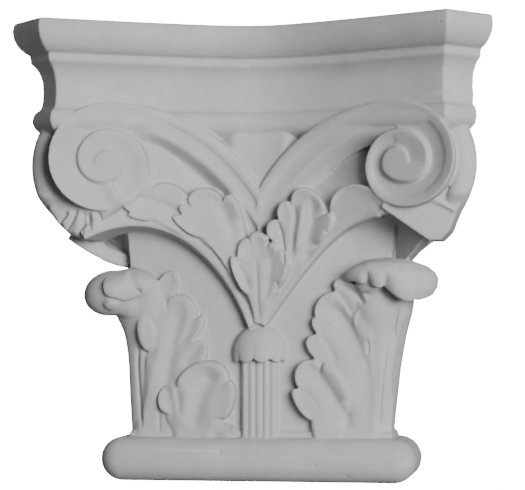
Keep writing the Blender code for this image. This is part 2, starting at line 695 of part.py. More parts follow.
def unite(target, parts):
    """Union of the parts into the target, MANIFOLD since EXACT leaves gaps where these leaves cross."""
    for part in parts:
        join = target.modifiers.new("join", "BOOLEAN")
        join.operation = "UNION"
        join.solver = "MANIFOLD"
        join.object = part
        graph = bpy.context.evaluated_depsgraph_get()
        mesh = bpy.data.meshes.new_from_object(target.evaluated_get(graph))
        target.modifiers.clear()
        spent = target.data
        target.data = mesh
        bpy.data.meshes.remove(spent)
        bpy.data.objects.remove(part, do_unlink=True)


def shells(bm):
    """Groups of connected faces."""
    left = set(bm.faces)
    while left:
        group = [left.pop()]
        for face in group:
            near = {other for edge in face.edges for other in edge.link_faces} & left
            left -= near
            group.extend(near)
        yield group


def tidy_mesh(item):
    """Drops pockets closed in between leaves, merges doubles and centres the origin under the box."""
    bm = bmesh.new()
    bm.from_mesh(item.data)
    pockets = sorted(shells(bm), key=len)[:-1]
    bmesh.ops.delete(bm, geom=[face for pocket in pockets for face in pocket], context="FACES")
    bmesh.ops.remove_doubles(bm, verts=bm.verts, dist=0.02 * MM)
    bmesh.ops.dissolve_degenerate(bm, edges=bm.edges, dist=0.01 * MM)
    bmesh.ops.triangulate(bm, faces=bm.faces)
    low = [min(vert.co[i] for vert in bm.verts) for i in range(3)]
    high = [max(vert.co[i] for vert in bm.verts) for i in range(3)]
    shift = Vector((-(low[0] + high[0]) / 2, -(low[1] + high[1]) / 2, -low[2]))
    bmesh.ops.translate(bm, verts=bm.verts, vec=shift)
    bm.to_mesh(item.data)
    bm.free()
    item.data.shade_smooth()
    item.data.set_sharp_from_angle(angle=math.radians(35))


def plaster():
    material = bpy.data.materials.new("cast_plaster")
    material.use_nodes = True
    shader = material.node_tree.nodes["Principled BSDF"]
    shader.inputs["Base Color"].default_value = PLASTER_COLOUR
    shader.inputs["Roughness"].default_value = PLASTER_ROUGHNESS
    shader.inputs["Metallic"].default_value = 0.0
    return material


def build():
    for item in list(bpy.data.objects):
        bpy.data.objects.remove(item, do_unlink=True)
    capital = main_block()
    parts = [stalk(), stalk_cap()]
    for side in (-1, 1):
        parts += under_volute(side)
        parts.append(volute(side))
        parts.append(corner_neck(side))
        parts.append(corner_curl(side))
        parts += flank_leaves(side)
        parts.append(spread_leaf(side))
    parts += lower_leaves() + upper_leaves()
    unite(capital, parts)
    tidy_mesh(capital)
    capital.data.materials.clear()
    capital.data.materials.append(plaster())


build()
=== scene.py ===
"""Looks of a plaster capital for a pilaster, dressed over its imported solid.

Sizes of the cast are in millimetres. A place is given by its distance along the wall, its reach in
front of the bell's face and its height over the underside.
"""

import math

import bmesh
import bpy
import numpy
from mathutils import Matrix, Vector


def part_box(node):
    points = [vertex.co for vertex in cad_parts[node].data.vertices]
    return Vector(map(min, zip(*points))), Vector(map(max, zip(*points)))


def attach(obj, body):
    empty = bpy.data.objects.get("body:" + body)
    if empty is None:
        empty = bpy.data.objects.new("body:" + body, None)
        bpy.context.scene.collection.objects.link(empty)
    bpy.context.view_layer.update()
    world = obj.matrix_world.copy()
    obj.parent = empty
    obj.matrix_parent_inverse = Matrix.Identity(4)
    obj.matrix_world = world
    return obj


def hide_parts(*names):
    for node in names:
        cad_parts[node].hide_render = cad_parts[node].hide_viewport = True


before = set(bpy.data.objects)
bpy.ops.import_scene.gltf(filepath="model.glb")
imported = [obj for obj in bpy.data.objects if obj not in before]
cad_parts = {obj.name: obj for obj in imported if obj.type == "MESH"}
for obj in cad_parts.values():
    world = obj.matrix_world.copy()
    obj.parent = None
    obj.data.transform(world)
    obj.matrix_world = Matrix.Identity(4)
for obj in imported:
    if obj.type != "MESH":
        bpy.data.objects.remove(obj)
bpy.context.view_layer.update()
wall_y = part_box("capital")[1].y


# Base roll
# The foot of the cast is a full half-round roll that goes round three sides of the bell. It is plaster and
# comes out of the same mould as all the rest.

MM = 0.001
BELL_DEPTH = 32.0
ROLL_HEIGHT = 23.2
ROLL_CORE_HALF = 72.3
ROLL_CORE_REACH = 2.4
ROLL_SHIFT = -1.0
ROLL_LEAST = 0.1
ROLL_STEPS = 28
SIDE_STEPS = 8
CORNER_STEPS = 8
FRONT_STEPS = 60


def place(along, reach, height):
    return Vector((along * MM, wall_y - (BELL_DEPTH + reach) * MM, height * MM))


def mix(low, high, share):
    return low + (high - low) * min(max(share, 0.0), 1.0)


def ease(share):
    share = min(max(share, 0.0), 1.0)
    return share * share * (3 - 2 * share)


def grow(bm, rings):
    """A closed body: the first ring's face is extruded from ring to ring, and the foot is closed."""
    foot = [bm.verts.new(spot) for spot in rings[0]]
    cap = bm.faces.new(foot)
    for ring in rings[1:]:
        cap = bmesh.ops.extrude_discrete_faces(bm, faces=[cap])["faces"][0]
        for vert, spot in zip(cap.verts, ring):
            vert.co = spot
    bm.faces.new(foot)


def level_ring(right, height, shift=0.0, left=None):
    """A ring at one height from half outlines, wall to middle. The right one is mirrored without a left."""
    ring = [(-x, reach) for x, reach in left or right] + [(x, reach) for x, reach in reversed(right[:-1])]
    return [place(x + shift, reach, height) for x, reach in ring]


def side_half(wall, side, reach):
    """The side of a block from the wall, hollow where its wall end stands further in."""
    shares = [i / SIDE_STEPS for i in range(SIDE_STEPS)]
    return [(side - (side - wall) * (1 - share ** 2), mix(-BELL_DEPTH, reach, share)) for share in shares]


def round_corner(side, reach, radius, turn=math.pi / 2):
    turns = [turn * i / CORNER_STEPS for i in range(CORNER_STEPS + 1)]
    return [(side + radius * math.cos(angle), reach + radius * math.sin(angle)) for angle in turns]


def front_half(edge):
    return [edge * (1 - i / FRONT_STEPS) for i in range(1, FRONT_STEPS + 1)]


def block_half(side, reach, radius):
    """Right half outline of a block that stands square on the wall, with a round corner."""
    half = side_half(side + radius, side + radius, reach) + round_corner(side, reach, radius)
    return half + [(x, reach + radius) for x in front_half(side)]


cast = bmesh.new()
roll_radius = ROLL_HEIGHT / 2
rings = []
for i in range(ROLL_STEPS + 1):
    turn = math.pi * (i / ROLL_STEPS - 0.5)
    swell = max(roll_radius * math.cos(turn), ROLL_LEAST * roll_radius)
    half = block_half(ROLL_CORE_HALF, ROLL_CORE_REACH, swell)
    rings.append(level_ring(half, roll_radius + roll_radius * math.sin(turn), ROLL_SHIFT))
grow(cast, rings)


# Bell
# The plain plaster block that the leaves lie on, with a small flat fillet at its foot. It widens a little
# upwards, and above the lower leaves its sides flare out in a cove that carries the scrolls.

FILLET_REACH = 2.2
FILLET = ((FILLET_REACH, 20.0), (FILLET_REACH, 25.2), (FILLET_REACH - 0.5, 26.0), (0.9, 26.2), (0.2, 27.0),
          (0.0, 28.0))
BELL_FOOT = 28.0
BELL_STEPS = 7
BELL_HALF_FOOT = 68.0
BELL_HALF_NECK = 70.0
BELL_HALF_HEAD = 71.6
BELL_CORNER = 1.6
FLARE_FOOT = 113.0
FLARE_TOP = 133.0
FLARE_SET_BACK = 20.0
FLARE_HOLLOW = 3.2
FLARE_BELLY = 0.85
FLARE_STEPS = 12
EYE_X = 75.5
EYE_Z = 165.5
FLANK_RADIUS = 41.0
SIDE_RETURN = 20.0


def flank_half(height):
    """Half width behind a scroll, round like the scroll."""
    return EYE_X + math.sqrt(FLANK_RADIUS ** 2 - min(abs(height - EYE_Z), FLANK_RADIUS) ** 2)


def flare_half(height):
    """Half outline where the side flares out from the plain front corner."""
    share = (height - FLARE_FOOT) / (FLARE_TOP - FLARE_FOOT)
    corner = mix(BELL_HALF_NECK, BELL_HALF_HEAD, share)
    wall = mix(BELL_HALF_NECK, flank_half(FLARE_TOP) - SIDE_RETURN, share)
    widest = mix(BELL_HALF_NECK, flank_half(FLARE_TOP), share ** FLARE_BELLY)
    half = side_half(wall, widest, -FLARE_SET_BACK)
    for i in range(CORNER_STEPS + 1):
        across = i / CORNER_STEPS
        half.append((mix(widest, corner, across), mix(-FLARE_SET_BACK, 0.0, across ** FLARE_HOLLOW)))
    return half + [(x, 0.0) for x in front_half(corner)]


rings = []
for reach, height in FILLET:
    half = block_half(BELL_HALF_FOOT - BELL_CORNER + reach, reach - BELL_CORNER, BELL_CORNER)
    rings.append(level_ring(half, height))
for i in range(1, BELL_STEPS):
    side = mix(BELL_HALF_FOOT, BELL_HALF_NECK, i / BELL_STEPS) - BELL_CORNER
    height = mix(BELL_FOOT, FLARE_FOOT, i / BELL_STEPS)
    rings.append(level_ring(block_half(side, -BELL_CORNER, BELL_CORNER), height))
for i in range(FLARE_STEPS + 1):
    height = mix(FLARE_FOOT, FLARE_TOP, i / FLARE_STEPS)
    rings.append(level_ring(flare_half(height), height))
grow(cast, rings)


# Head
# Behind the scrolls the cast is solid plaster. Its corners are round bands that follow the scrolls' curve,
# and its front is a hollow that shows in the V between the arms and again below them.

HEAD_TOP = 186.0
HEAD_STEPS = 40
FLANK_REACH = 29.0
FLANK_START = 0.45
FLANK_RISE = 30.0
FLANK_BAND = 6.5
BAND_TURN = math.radians(140)
BAND_INSET = 1.8
GROOVE_REACH = 21.0
WING_BEND = 30.0
WING_SET_BACK = 2.7
SWEEP_FOOT = 0.56
SWEEP_TOP = 0.62
ARM_LINE_TOP = 186.0
ARM_LINE_SAG = 0.0145
ARM_LINE_END = 70.0
DISH_FOOT = 153.0
DISH_HEIGHT = 28.0
DISH_REACH = (5.5, 3.6)
DISH_SIDE = 1.6
DISH_HALF = 24.0
HOLLOW_START = 12.0
HOLLOW_BLEND = 14.0
HOLLOW_HEIGHT = 30.0
HOLLOW_REACH = (-6.0, 3.0)
HOLLOW_LEVEL = 36.0
SCROLL_RISE = {-1: 5.0, 1: 6.0}
SCROLL_NEAR = 14.0
SCROLL_FADE = 24.0


def wing(x, sweep=SWEEP_FOOT):
    """Reach of the abacus face: straight wings that bend softly in the middle."""
    return sweep * (math.hypot(x, WING_BEND) - WING_BEND) - WING_SET_BACK


def hollow_reach(x, height, side):
    """Reach of the ground behind the arms: a dish above them and a deeper hollow below.

    On the left it rises to the scroll, on the right it levels out and leaves the scroll standing free.
    """
    line = ARM_LINE_TOP - ARM_LINE_SAG * (ARM_LINE_END - min(x, ARM_LINE_END)) ** 2
    above = wing(x) + mix(*DISH_REACH, (height - DISH_FOOT) / DISH_HEIGHT) + DISH_SIDE * ease(x / DISH_HALF)
    level = x if side < 0 else HOLLOW_LEVEL * math.sin(min(x / HOLLOW_LEVEL, math.pi / 2))
    below = wing(level) + mix(*HOLLOW_REACH, (line - height) / HOLLOW_HEIGHT)
    apart = math.hypot(x - EYE_X, height - EYE_Z)
    below += SCROLL_RISE[side] * (1 - ease((apart - SCROLL_NEAR) / SCROLL_FADE))
    ground = min(mix(above, below, ease((x - HOLLOW_START) / HOLLOW_BLEND)), GROOVE_REACH)
    return mix(0.0, ground, ease((height - FLARE_TOP) / HOLLOW_BLEND))


rings = [level_ring(flare_half(FLARE_TOP), FLARE_TOP)]
for i in range(HEAD_STEPS + 1):
    height = mix(FLARE_TOP + 4, HEAD_TOP, i / HEAD_STEPS)
    side = flank_half(height)
    reach = mix(0.0, FLANK_REACH, FLANK_START + (height - FLARE_TOP) / FLANK_RISE)
    band = side_half(side - SIDE_RETURN, side, reach)
    band += round_corner(side - FLANK_BAND, reach, FLANK_BAND, BAND_TURN)
    inner = front_half(side - BAND_INSET * FLANK_BAND)
    right, left = (band + [(x, hollow_reach(x, height, hand)) for x in inner] for hand in (1, -1))
    rings.append(level_ring(right, height, left=left))
grow(cast, rings)


# Abacus
# The moulded plaster slab on top: a full bead at its foot, a tall face, a narrow band and a swelling ovolo.
# Its front sweeps forward in two wings to cut-off horns, and its sides are hollow. Below the ovolo the
# mouldings swell out a little more at the two sides, on the right most of all.

ABACUS_FOOT = 181.5
ABACUS_HALF = 108.5
HORN_HALF = 100.3
HORN_TURN = math.radians(50)
HORN_STEPS = 5
SWEEP_START = 185.0
SWEEP_HEIGHT = 38.0
RIGHT_SWELL = (3.6, 5.8)
RIGHT_SWELL_START = 190.0
RIGHT_SWELL_HEIGHT = 10.0
RIGHT_SWELL_LOSS = 0.3
LEFT_SWELL = 2.4
LEFT_SWELL_LOSS = 0.12
PROFILE_STEPS = 4
BEAD = ((-1.0, ABACUS_FOOT), (2.4, 183.2), (5.0, 185.4), (6.2, 188.2), (5.7, 191.4), (3.7, 194.2),
        (0.4, 195.4))
FACE = ((1.6, 195.8), (0.9, 197.2), (0.5, 199.5), (0.0, 204.0), (0.2, 209.0), (1.2, 213.0), (3.2, 216.2),
        (5.2, 218.2), (6.1, 219.2), (6.4, 223.0))
OVOLO = ((6.5, 223.2), (8.6, 223.9), (11.6, 226.2), (14.2, 229.6), (15.6, 233.5), (15.7, 236.5),
         (14.9, 239.0), (14.0, 240.0))


def abacus_half(offset, sweep, swell):
    """Half outline of the abacus. Every face is moved out by the offset and the side by the swell too."""
    cut = Vector((math.sin(HORN_TURN), math.cos(HORN_TURN)))
    horn_line = Vector((HORN_HALF, wing(HORN_HALF, sweep))).dot(cut) + offset
    front = []
    for start in [HORN_HALF] + front_half(HORN_HALF):
        slope = sweep * start / math.hypot(start, WING_BEND)
        spot = Vector((start, wing(start, sweep))) + Vector((-slope, 1)).normalized() * offset
        if start == HORN_HALF:
            spot += Vector((1, slope)) * (horn_line - spot.dot(cut)) / Vector((1, slope)).dot(cut)
        front.append(tuple(spot))
    side = ABACUS_HALF + offset + swell
    outer = Vector((side, (horn_line - side * cut.x) / cut.y))
    chamfer = [tuple(outer.lerp(Vector(front[0]), i / HORN_STEPS)) for i in range(HORN_STEPS)]
    return side_half(side - SIDE_RETURN, side, outer.y) + chamfer + front


def smooth_run(points, steps):
    """A smooth run through the points, with so many steps from each to the next."""
    run = []
    last = len(points) - 1
    for i in range(last * steps + 1):
        k = min(i // steps, last - 1)
        share = i / steps - k
        before, start, end, after = (Vector(points[min(max(j, 0), last)]) for j in (k - 1, k, k + 1, k + 2))
        spot = 2 * start + (end - before) * share
        spot += (2 * before - 5 * start + 4 * end - after) * share ** 2
        spot += (3 * start - before - 3 * end + after) * share ** 3
        run.append(spot / 2)
    return run


rings = []
for stretch in (BEAD, FACE, OVOLO):
    for offset, height in smooth_run(stretch, PROFILE_STEPS):
        sweep = mix(SWEEP_FOOT, SWEEP_TOP, (height - SWEEP_START) / SWEEP_HEIGHT)
        swell = mix(*RIGHT_SWELL, (height - RIGHT_SWELL_START) / RIGHT_SWELL_HEIGHT)
        right = abacus_half(offset, sweep, swell - RIGHT_SWELL_LOSS * offset)
        left = abacus_half(offset, sweep, LEFT_SWELL - LEFT_SWELL_LOSS * offset)
        rings.append(level_ring(right, height, left=left))
grow(cast, rings)


# Arms
# Each plaster arm springs from the middle and sweeps out to its scroll. It has two flat bands, the outer one
# a hair higher, and its lower edge falls off steeply into the hollow.

SCROLL_LEAD = 8.0
SCROLL_SIZE = 33.0
LEFT_TURNS = (1.0, 0.83, 0.71, 0.60, 0.57, 0.40, 0.25, 0.20, 0.235, 0.18)
RIGHT_TURNS = (0.97, 0.93, 0.67, 0.51, 0.52, 0.51, 0.27, 0.24, 0.245, 0.19)
LEFT_RIM_STEP = 0.5
RIGHT_RIM_STEP = 1.2
ARM_BACK = -6.0
ARM_MEETING = 153.0
ARM_FOOT = 130.0
ARM_STEP = 1.3
ARM_DROP = 11.0
ARM_OVERLAP = 1.5
STEP_HEIGHT = 3.7
ARM_STEPS = 56
ARM_ACROSS = (0.0, 0.015, 0.05, 0.12, 0.2, 0.28, 0.34, 0.37, 0.4, 0.43, 0.5, 0.6, 0.7, 0.8, 0.88, 0.94, 1.0,
              1.06, 1.13, 1.2, 1.28, 1.36, 1.45)


def scroll_reach(x):
    return wing(x) + SCROLL_LEAD


def turn_sink(across, fall, rim_step):
    """How far the band lies under the scroll's face, from its outer edge to its inner one."""
    sink = 0.6 * (1 - min(across / 0.06, 1.0)) ** 2 + fall * ease(across) ** 0.8
    return sink + rim_step * ease((across - 0.33) / 0.1) * max(1 - across, 0.0)


def bezier(controls, share):
    rest = 1 - share
    weights = (rest ** 3, 3 * rest ** 2 * share, 3 * rest * share ** 2, share ** 3)
    return Vector([sum(weight * control[i] for weight, control in zip(weights, controls)) for i in (0, 1)])


def arm(bm, side, turns, rim_step):
    crown = EYE_Z + SCROLL_SIZE * turns[0]
    throat = EYE_Z + SCROLL_SIZE * turns[4]
    rings = []
    for i in range(ARM_STEPS + 1):
        share = i / ARM_STEPS
        upper = bezier(((-1.0, ARM_MEETING), (15.0, mix(ARM_MEETING, crown, 0.64)), (40.0, crown),
                        (EYE_X, crown)), share)
        lower = bezier(((-1.0, ARM_FOOT), (24.0, mix(ARM_FOOT, throat, 0.7)), (50.0, throat + 3.0),
                        (EYE_X, throat)), share)
        ring = [place(side * lower.x, ARM_BACK, lower.y), place(side * upper.x, ARM_BACK, upper.y)]
        for across in ARM_ACROSS:
            spot = upper + (lower - upper) * across
            arm_sink = 0.9 * (1 - min(across / 0.12, 1.0)) ** 2 + ARM_STEP * ease((across - 0.33) / 0.1)
            arm_sink += 0.5 * math.sin(math.pi * mix(0, 1, (across - 0.43) / 0.5))
            arm_sink -= 0.3 * math.sin(math.pi * mix(0, 1, across / 0.34))
            arm_sink += ARM_DROP * ease((across - 0.82) / 0.6)
            sink = mix(arm_sink, turn_sink(across, STEP_HEIGHT, rim_step), ease((share - 0.6) / 0.36))
            ring.append(place(side * spot.x, scroll_reach(spot.x) - sink, spot.y))
        rings.append(ring)
    grow(bm, rings + [[spot + place(side * ARM_OVERLAP, -0.4, 0) - place(0, 0, 0) for spot in rings[-1]]])


arm(cast, -1, LEFT_TURNS, LEFT_RIM_STEP)
arm(cast, 1, RIGHT_TURNS, RIGHT_RIM_STEP)


# Scrolls
# Each arm rolls up like a snail, every turn standing a step in front of the turn outside it, round a plain
# eye. The scrolls are plaster of the same cast, and the band along their outer edge is a little raised.

TURN_STEPS = 72
EYE_RISE = 0.3
TURN_ACROSS = (0.0, 0.02, 0.06, 0.14, 0.22, 0.3, 0.34, 0.38, 0.43, 0.5, 0.58, 0.68, 0.79, 0.9)


def scroll(bm, side, turns, rim_step):
    """The turns' rows lie side by side, step up at each inner edge and are thickened back to the head."""
    last = (len(turns) - 1) * TURN_STEPS // 4
    radii = [SCROLL_SIZE * spot.x for spot in smooth_run([(turn, 0) for turn in turns], TURN_STEPS // 4)]
    verts = []
    for step in range(last + 1):
        angle = 2 * math.pi * step / TURN_STEPS
        inner = radii[step + TURN_STEPS] if step + TURN_STEPS <= last else 0.0
        fall = STEP_HEIGHT * mix(0.35, 1.0, 4.0 * (1 - (step + TURN_STEPS) / last)) if inner else 0.0
        row = []
        for across in TURN_ACROSS:
            radius = mix(radii[step], inner, across)
            x = EYE_X + radius * math.sin(angle)
            sink = turn_sink(across, fall, rim_step if step < TURN_STEPS else 0.0)
            height = EYE_Z + radius * math.cos(angle)
            row.append(bm.verts.new(place(side * x, scroll_reach(x) - sink, height)))
        verts.append(row)
    eye = bm.verts.new(place(side * EYE_X, scroll_reach(EYE_X) + EYE_RISE, EYE_Z))
    skin = []
    for row, following in zip(verts, verts[1:]):
        for j in range(len(row) - 1):
            skin.append(bm.faces.new((row[j], row[j + 1], following[j + 1], following[j])))
    for k in range(last):
        near, hub = verts[k][-1], verts[k + 1][-1]
        if k + TURN_STEPS < last:
            skin.append(bm.faces.new((near, verts[k + TURN_STEPS][0], verts[k + 1 + TURN_STEPS][0], hub)))
        elif k + TURN_STEPS == last:
            end = [near] + verts[last] + [eye]
            skin += [bm.faces.new((start, stop, hub)) for start, stop in zip(end, end[1:])]
        else:
            skin.append(bm.faces.new((near, eye, hub)))
    rim = {edge for face in skin for edge in face.edges if edge.is_boundary}
    wall = bmesh.ops.extrude_edge_only(bm, edges=list(rim))["geom"]
    for vert in (item for item in wall if isinstance(item, bmesh.types.BMVert)):
        vert.co.y = place(0, ARM_BACK, 0).y
    edges = [edge for edge in wall if isinstance(edge, bmesh.types.BMEdge) and edge.is_boundary]
    bmesh.ops.holes_fill(bm, edges=edges)


scroll(cast, -1, LEFT_TURNS, LEFT_RIM_STEP)
scroll(cast, 1, RIGHT_TURNS, RIGHT_RIM_STEP)


# Stalk and cap
# A short reeded stalk of plaster stands in the middle under a domed cap with a scalloped edge, from which the
# upper leaves spring.

INTO_BELL = -4.0
STALK_HALF = 9.6
STALK_REACH = 5.5
STALK_REEDS = 5
STALK_FOOT = 24.0
STALK_TOP = 65.0
REED_DEPTH = 1.8
REED_STEPS = 8
CAP_HALF = 14.2
CAP_HEIGHT = 17.5
CAP_STEPS = 72
CAP_PROFILE = ((0.74, 0.06), (0.93, 0.0), (1.0, 0.12), (1.0, 0.3), (0.94, 0.5), (0.82, 0.68), (0.64, 0.83),
               (0.4, 0.94), (0.14, 1.0))

outline = [(STALK_HALF, INTO_BELL)]
for i in range(STALK_REEDS * REED_STEPS + 1):
    x = STALK_HALF * (1 - 2 * i / (STALK_REEDS * REED_STEPS))
    swell = STALK_REACH * (0.72 + 0.28 * math.sqrt(max(0.0, 1 - (x / STALK_HALF) ** 2)))
    outline.append((x, swell - REED_DEPTH * (1 - abs(math.sin(math.pi * i / REED_STEPS))) ** 1.5))
outline.append((-STALK_HALF, INTO_BELL))
grow(cast, [[place(x, reach, height) for x, reach in outline] for height in (STALK_FOOT, STALK_TOP + 4)])

rings = []
for share, rise in smooth_run(CAP_PROFILE, 3):
    ring = []
    for i in range(CAP_STEPS):
        turn = 2 * math.pi * i / CAP_STEPS
        lobes = abs(math.cos(4.5 * turn)) ** 0.6
        fade = max(0.0, 1 - rise * 1.6)
        radius = CAP_HALF * share * (1 + 0.05 * (lobes - 0.5) * fade)
        height = STALK_TOP + CAP_HEIGHT * rise - 2.4 * lobes * max(0.0, 1 - rise * 4)
        ring.append(place(radius * math.cos(turn), 0.68 * radius * math.sin(turn), height))
    rings.append(ring)
grow(cast, rings)


# Lower leaves
# Acanthus leaves of plaster lie on the bell's face beside the corner leaves. Their lobes are smooth swelling
# pads with steep edges, parted by short thin notches from which shallow furrows run down.

LOBE_STEPS = 14
FLANK_STEPS = 10
LEAF_EDGE = 0.6
LEAF_HEART = 0.76
LEAF_SPINE = 0.92
LEAF_PROFILE = ((0.0, None), (0.0, 0.3), (0.004, 0.62), (0.014, 0.84), (0.035, 0.96), (0.07, 1.0),
                (0.12, 0.99), (0.2, 0.95), (0.3, 0.9), (0.4, 0.87), (0.52, 0.85), (0.64, 0.84), (0.76, 0.84),
                (0.88, 0.84), (0.97, 0.84))
tool_marks = []


def mark(lift, widths, *path):
    """Notes a ridge, or with a negative lift a furrow, worked along a path that runs down the front.

    Its width may differ on its left and on its right.
    """
    tool_marks.append((lift, widths if isinstance(widths, tuple) else (widths, widths), path))


def leaf_edge(root, half_root, points, bows):
    """The leaf's edge as spots with their lift. The points are notches and tips by turns, left to right."""
    points = [Vector(point) for point in points]
    edge = [(points[0], LEAF_EDGE)]
    for start, tip, end in zip(points[::2], points[1::2], points[2::2]):
        centre = (start + end) / 2
        for i in range(1, LOBE_STEPS + 1):
            turn = math.pi * i / LOBE_STEPS
            near = start if i <= LOBE_STEPS / 2 else end
            spot = centre + (near - centre) * abs(math.cos(turn)) + (tip - centre) * math.sin(turn)
            edge.append((spot, mix(LEAF_EDGE, 1.0, 2.5 * math.sin(turn))))
    sides = []
    for side, end, bow in ((1, points[-1], bows[1]), (-1, points[0], bows[0])):
        across = Vector(((end - root).y, (root - end).x)) * side
        foot = root + across.normalized() * half_root
        flank = []
        for i in range(1, FLANK_STEPS + 1):
            share = i / FLANK_STEPS
            spot = end.lerp(foot, share) + across * (4 * bow * share * (1 - share))
            flank.append((spot, mix(0.8, 0.1, 1.8 * share)))
        sides.append(flank)
    return edge + sides[0] + sides[1][::-1]


def leaf(bm, root, half_root, points, rise, bows=(0.05, 0.05), where=place, root_rise=0.65):
    """One leaf, grown from its outline inside the ground up its steep edge and in to the middle."""
    root = Vector(root)
    edge = leaf_edge(root, half_root, points, bows)
    tips = [Vector(point) for point in points[1::2]]
    heart = root.lerp(sum(tips, Vector((0, 0))) / len(tips), LEAF_HEART)
    spine = heart - root
    rings = []
    for inward, lift in LEAF_PROFILE:
        ring = []
        for spot, own in edge:
            along = min(max((spot - root).dot(spine) / spine.length_squared * LEAF_SPINE, 0.05), 1.0)
            own = mix(own, 1.0, (inward - 0.01) / 0.35) * mix(root_rise, 1.0, 2.2 * along)
            level = INTO_BELL if lift is None else rise * lift * own
            spot = spot.lerp(root + spine * along, inward)
            ring.append(where(spot.x, level, spot.y))
        rings.append(ring)
    grow(bm, rings)


leaf(cast, (-57, 24), 12, ((-60.5, 68.1), (-65.7, 84), (-57.5, 83.7), (-55.9, 94.1), (-50.2, 94.1),
     (-38.9, 97.8), (-34, 86.1), (-29.7, 83), (-38.3, 71.8), (-28.1, 71.3), (-32.4, 60.2)), 5.2,
     (-0.02, 0.03))
leaf(cast, (-36, 22), 12, ((-50.1, 35.4), (-53.7, 45.9), (-44.8, 49.2), (-29.2, 63.5), (-15.8, 53.5),
     (-12.6, 43.6), (-19, 33)), 7.4, (0.05, 0.08))
leaf(cast, (-22, 23), 3, ((-25, 25), (-18.5, 30.5), (-11, 25)), 5.0)
leaf(cast, (54, 24), 12, ((33.3, 62.6), (24.8, 73.1), (32.8, 76.5), (28, 83.1), (30.7, 86.2),
     (32.2, 96.7), (41.7, 98.8), (43.9, 107.1), (58, 96.2)), 5.6, (0.03, 0.02))
leaf(cast, (36, 22), 11, ((27.8, 32.3), (18.2, 43.8), (21.9, 48.5), (21.4, 62.1), (33.6, 61.1),
     (42.5, 57), (47.8, 43.4)), 7.4, (0.03, 0.05))
leaf(cast, (55.9, 69.5), 3, ((50.7, 80), (53.3, 90.9), (61.2, 86.2)), 6.0, (0.1, 0.1))
mark(-2.25, (4.5, 4), (-41, 94.1), (-42.7, 86.1), (-45.9, 75.5), (-48.6, 62.8), (-50.8, 50.6),
     (-51.8, 38.4))
mark(1, 4, (-50.2, 86.1), (-52.9, 69.2), (-54.5, 53.2), (-55.1, 36.2))
mark(-2.25, (5, 4.5), (-23.3, 58.8), (-28.1, 51.4), (-31.9, 42.9), (-34, 33.4), (-34.5, 27))
mark(1, 3.2, (-36.2, 49.2), (-39.9, 38.6), (-41.5, 28))
mark(-1.75, 0.9, (-65.2, 73.3), (-65.7, 61), (-64.6, 45), (-63.5, 31.7), (-63, 26.4))
mark(-1.12, 0.7, (-53.7, 38.2), (-53.7, 31.8), (-53.7, 25.4))
mark(-2.75, (6, 3.2), (31.7, 95.6), (38.1, 92.5), (42.8, 88.8), (47, 82.6), (50.2, 76.3), (53.3, 69.5),
     (55.9, 61.7), (57.5, 52.8), (58, 43.4), (59.1, 30.9))
mark(-1.75, 1.3, (43.3, 103.5), (48.6, 101.4), (52.8, 97.7), (56.5, 93))
mark(1.12, 1, (48.1, 106.1), (53.3, 101.4), (58, 96.2))
mark(-1.25, 0.8, (57.4, 74.7), (57.9, 71.1), (57.4, 66.9))
mark(-2.5, (5.5, 3.2), (24.6, 63.2), (31.5, 56.9), (36.2, 50.2), (40.9, 42.9), (45.1, 35.6), (48.8, 27.8))
mark(-1, 0.6, (69.1, 77.8), (66.4, 64.2), (64.6, 51.1), (64.3, 43.3), (62.8, 27))
mark(-0.62, 0.6, (70.1, 79.9), (69.9, 64.2), (69.6, 32.8))
mark(-1, 2.6, (-60.5, 86.1), (-58.9, 75.5), (-56.7, 63.8))
mark(-1.12, (2, 3.5), (-35.1, 95.7), (-35.1, 87.7), (-38.9, 77.1), (-43.2, 68.1))
mark(-1, (1.6, 2.6), (-29.2, 73.5), (-34, 69.2), (-41, 60.7))
mark(-0.88, 2.4, (-49.1, 50.2), (-47.5, 41.7), (-45.3, 32.2))
mark(-0.88, (1.2, 2), (-44.8, 50.2), (-42.6, 41.8), (-41.5, 33.3))
mark(-1, (1, 2.2), (41.2, 100.3), (46, 94.1), (50.2, 87.3))
mark(-0.75, (1.2, 2.2), (32.2, 76.8), (37, 71), (41.2, 62.1))
mark(-0.62, (1.2, 2.2), (21.4, 49), (27.2, 45.4), (32.5, 39.2))


# Corner leaves
# A large plaster leaf wraps each lower corner. Its stem flares outwards, and its head rolls over forwards
# into a plump lip that hangs free. The right lip is lobed along its edge, the left one is made of round pads.

NECK_FOOT = 27.0
NECK_HEIGHT = 86.0
NECK_STEPS = 24
NECK = ((26, 2.0, 9, 0.3), (45, 2.7, 9.5, 2.0), (60, 3.0, 10.5, 3.4), (70, 3.8, 12, 4.8),
        (79, 5.5, 14.5, 6.4), (88, 9.5, 17, 8.6), (96, 11, 18, 9.6), (103, 9, 16, 8.0))
CURL_REACH = 39.0
CURL_HEIGHT = 25.0
CURL_SINK = 12.0
CURL_MIDDLE = 105.0
NOTCH_WIDTH = 4.5
NOTCH_DEPTH = 0.08
LIP = ((0.12, -0.6), (0.4, -0.25), (0.56, -0.2), (0.68, -0.24), (0.78, -0.38), (0.86, -0.49), (0.93, -0.46),
       (0.985, -0.26), (1.0, 0.0), (0.96, 0.2), (0.86, 0.37), (0.7, 0.47), (0.5, 0.5), (0.12, 0.42))
CURL_TURNS = ((-70, 0.3, 0.0), (-48, 0.48, 0.12), (-25, 0.62, 0.33), (0, 0.74, 0.46), (22, 0.86, 0.49),
              (45, 0.98, 0.5), (66, 1.0, 0.44), (90, 0.88, 0.32), (115, 0.66, 0.2), (140, 0.4, 0.1))
CURL_NOTCHES = (2, 20)
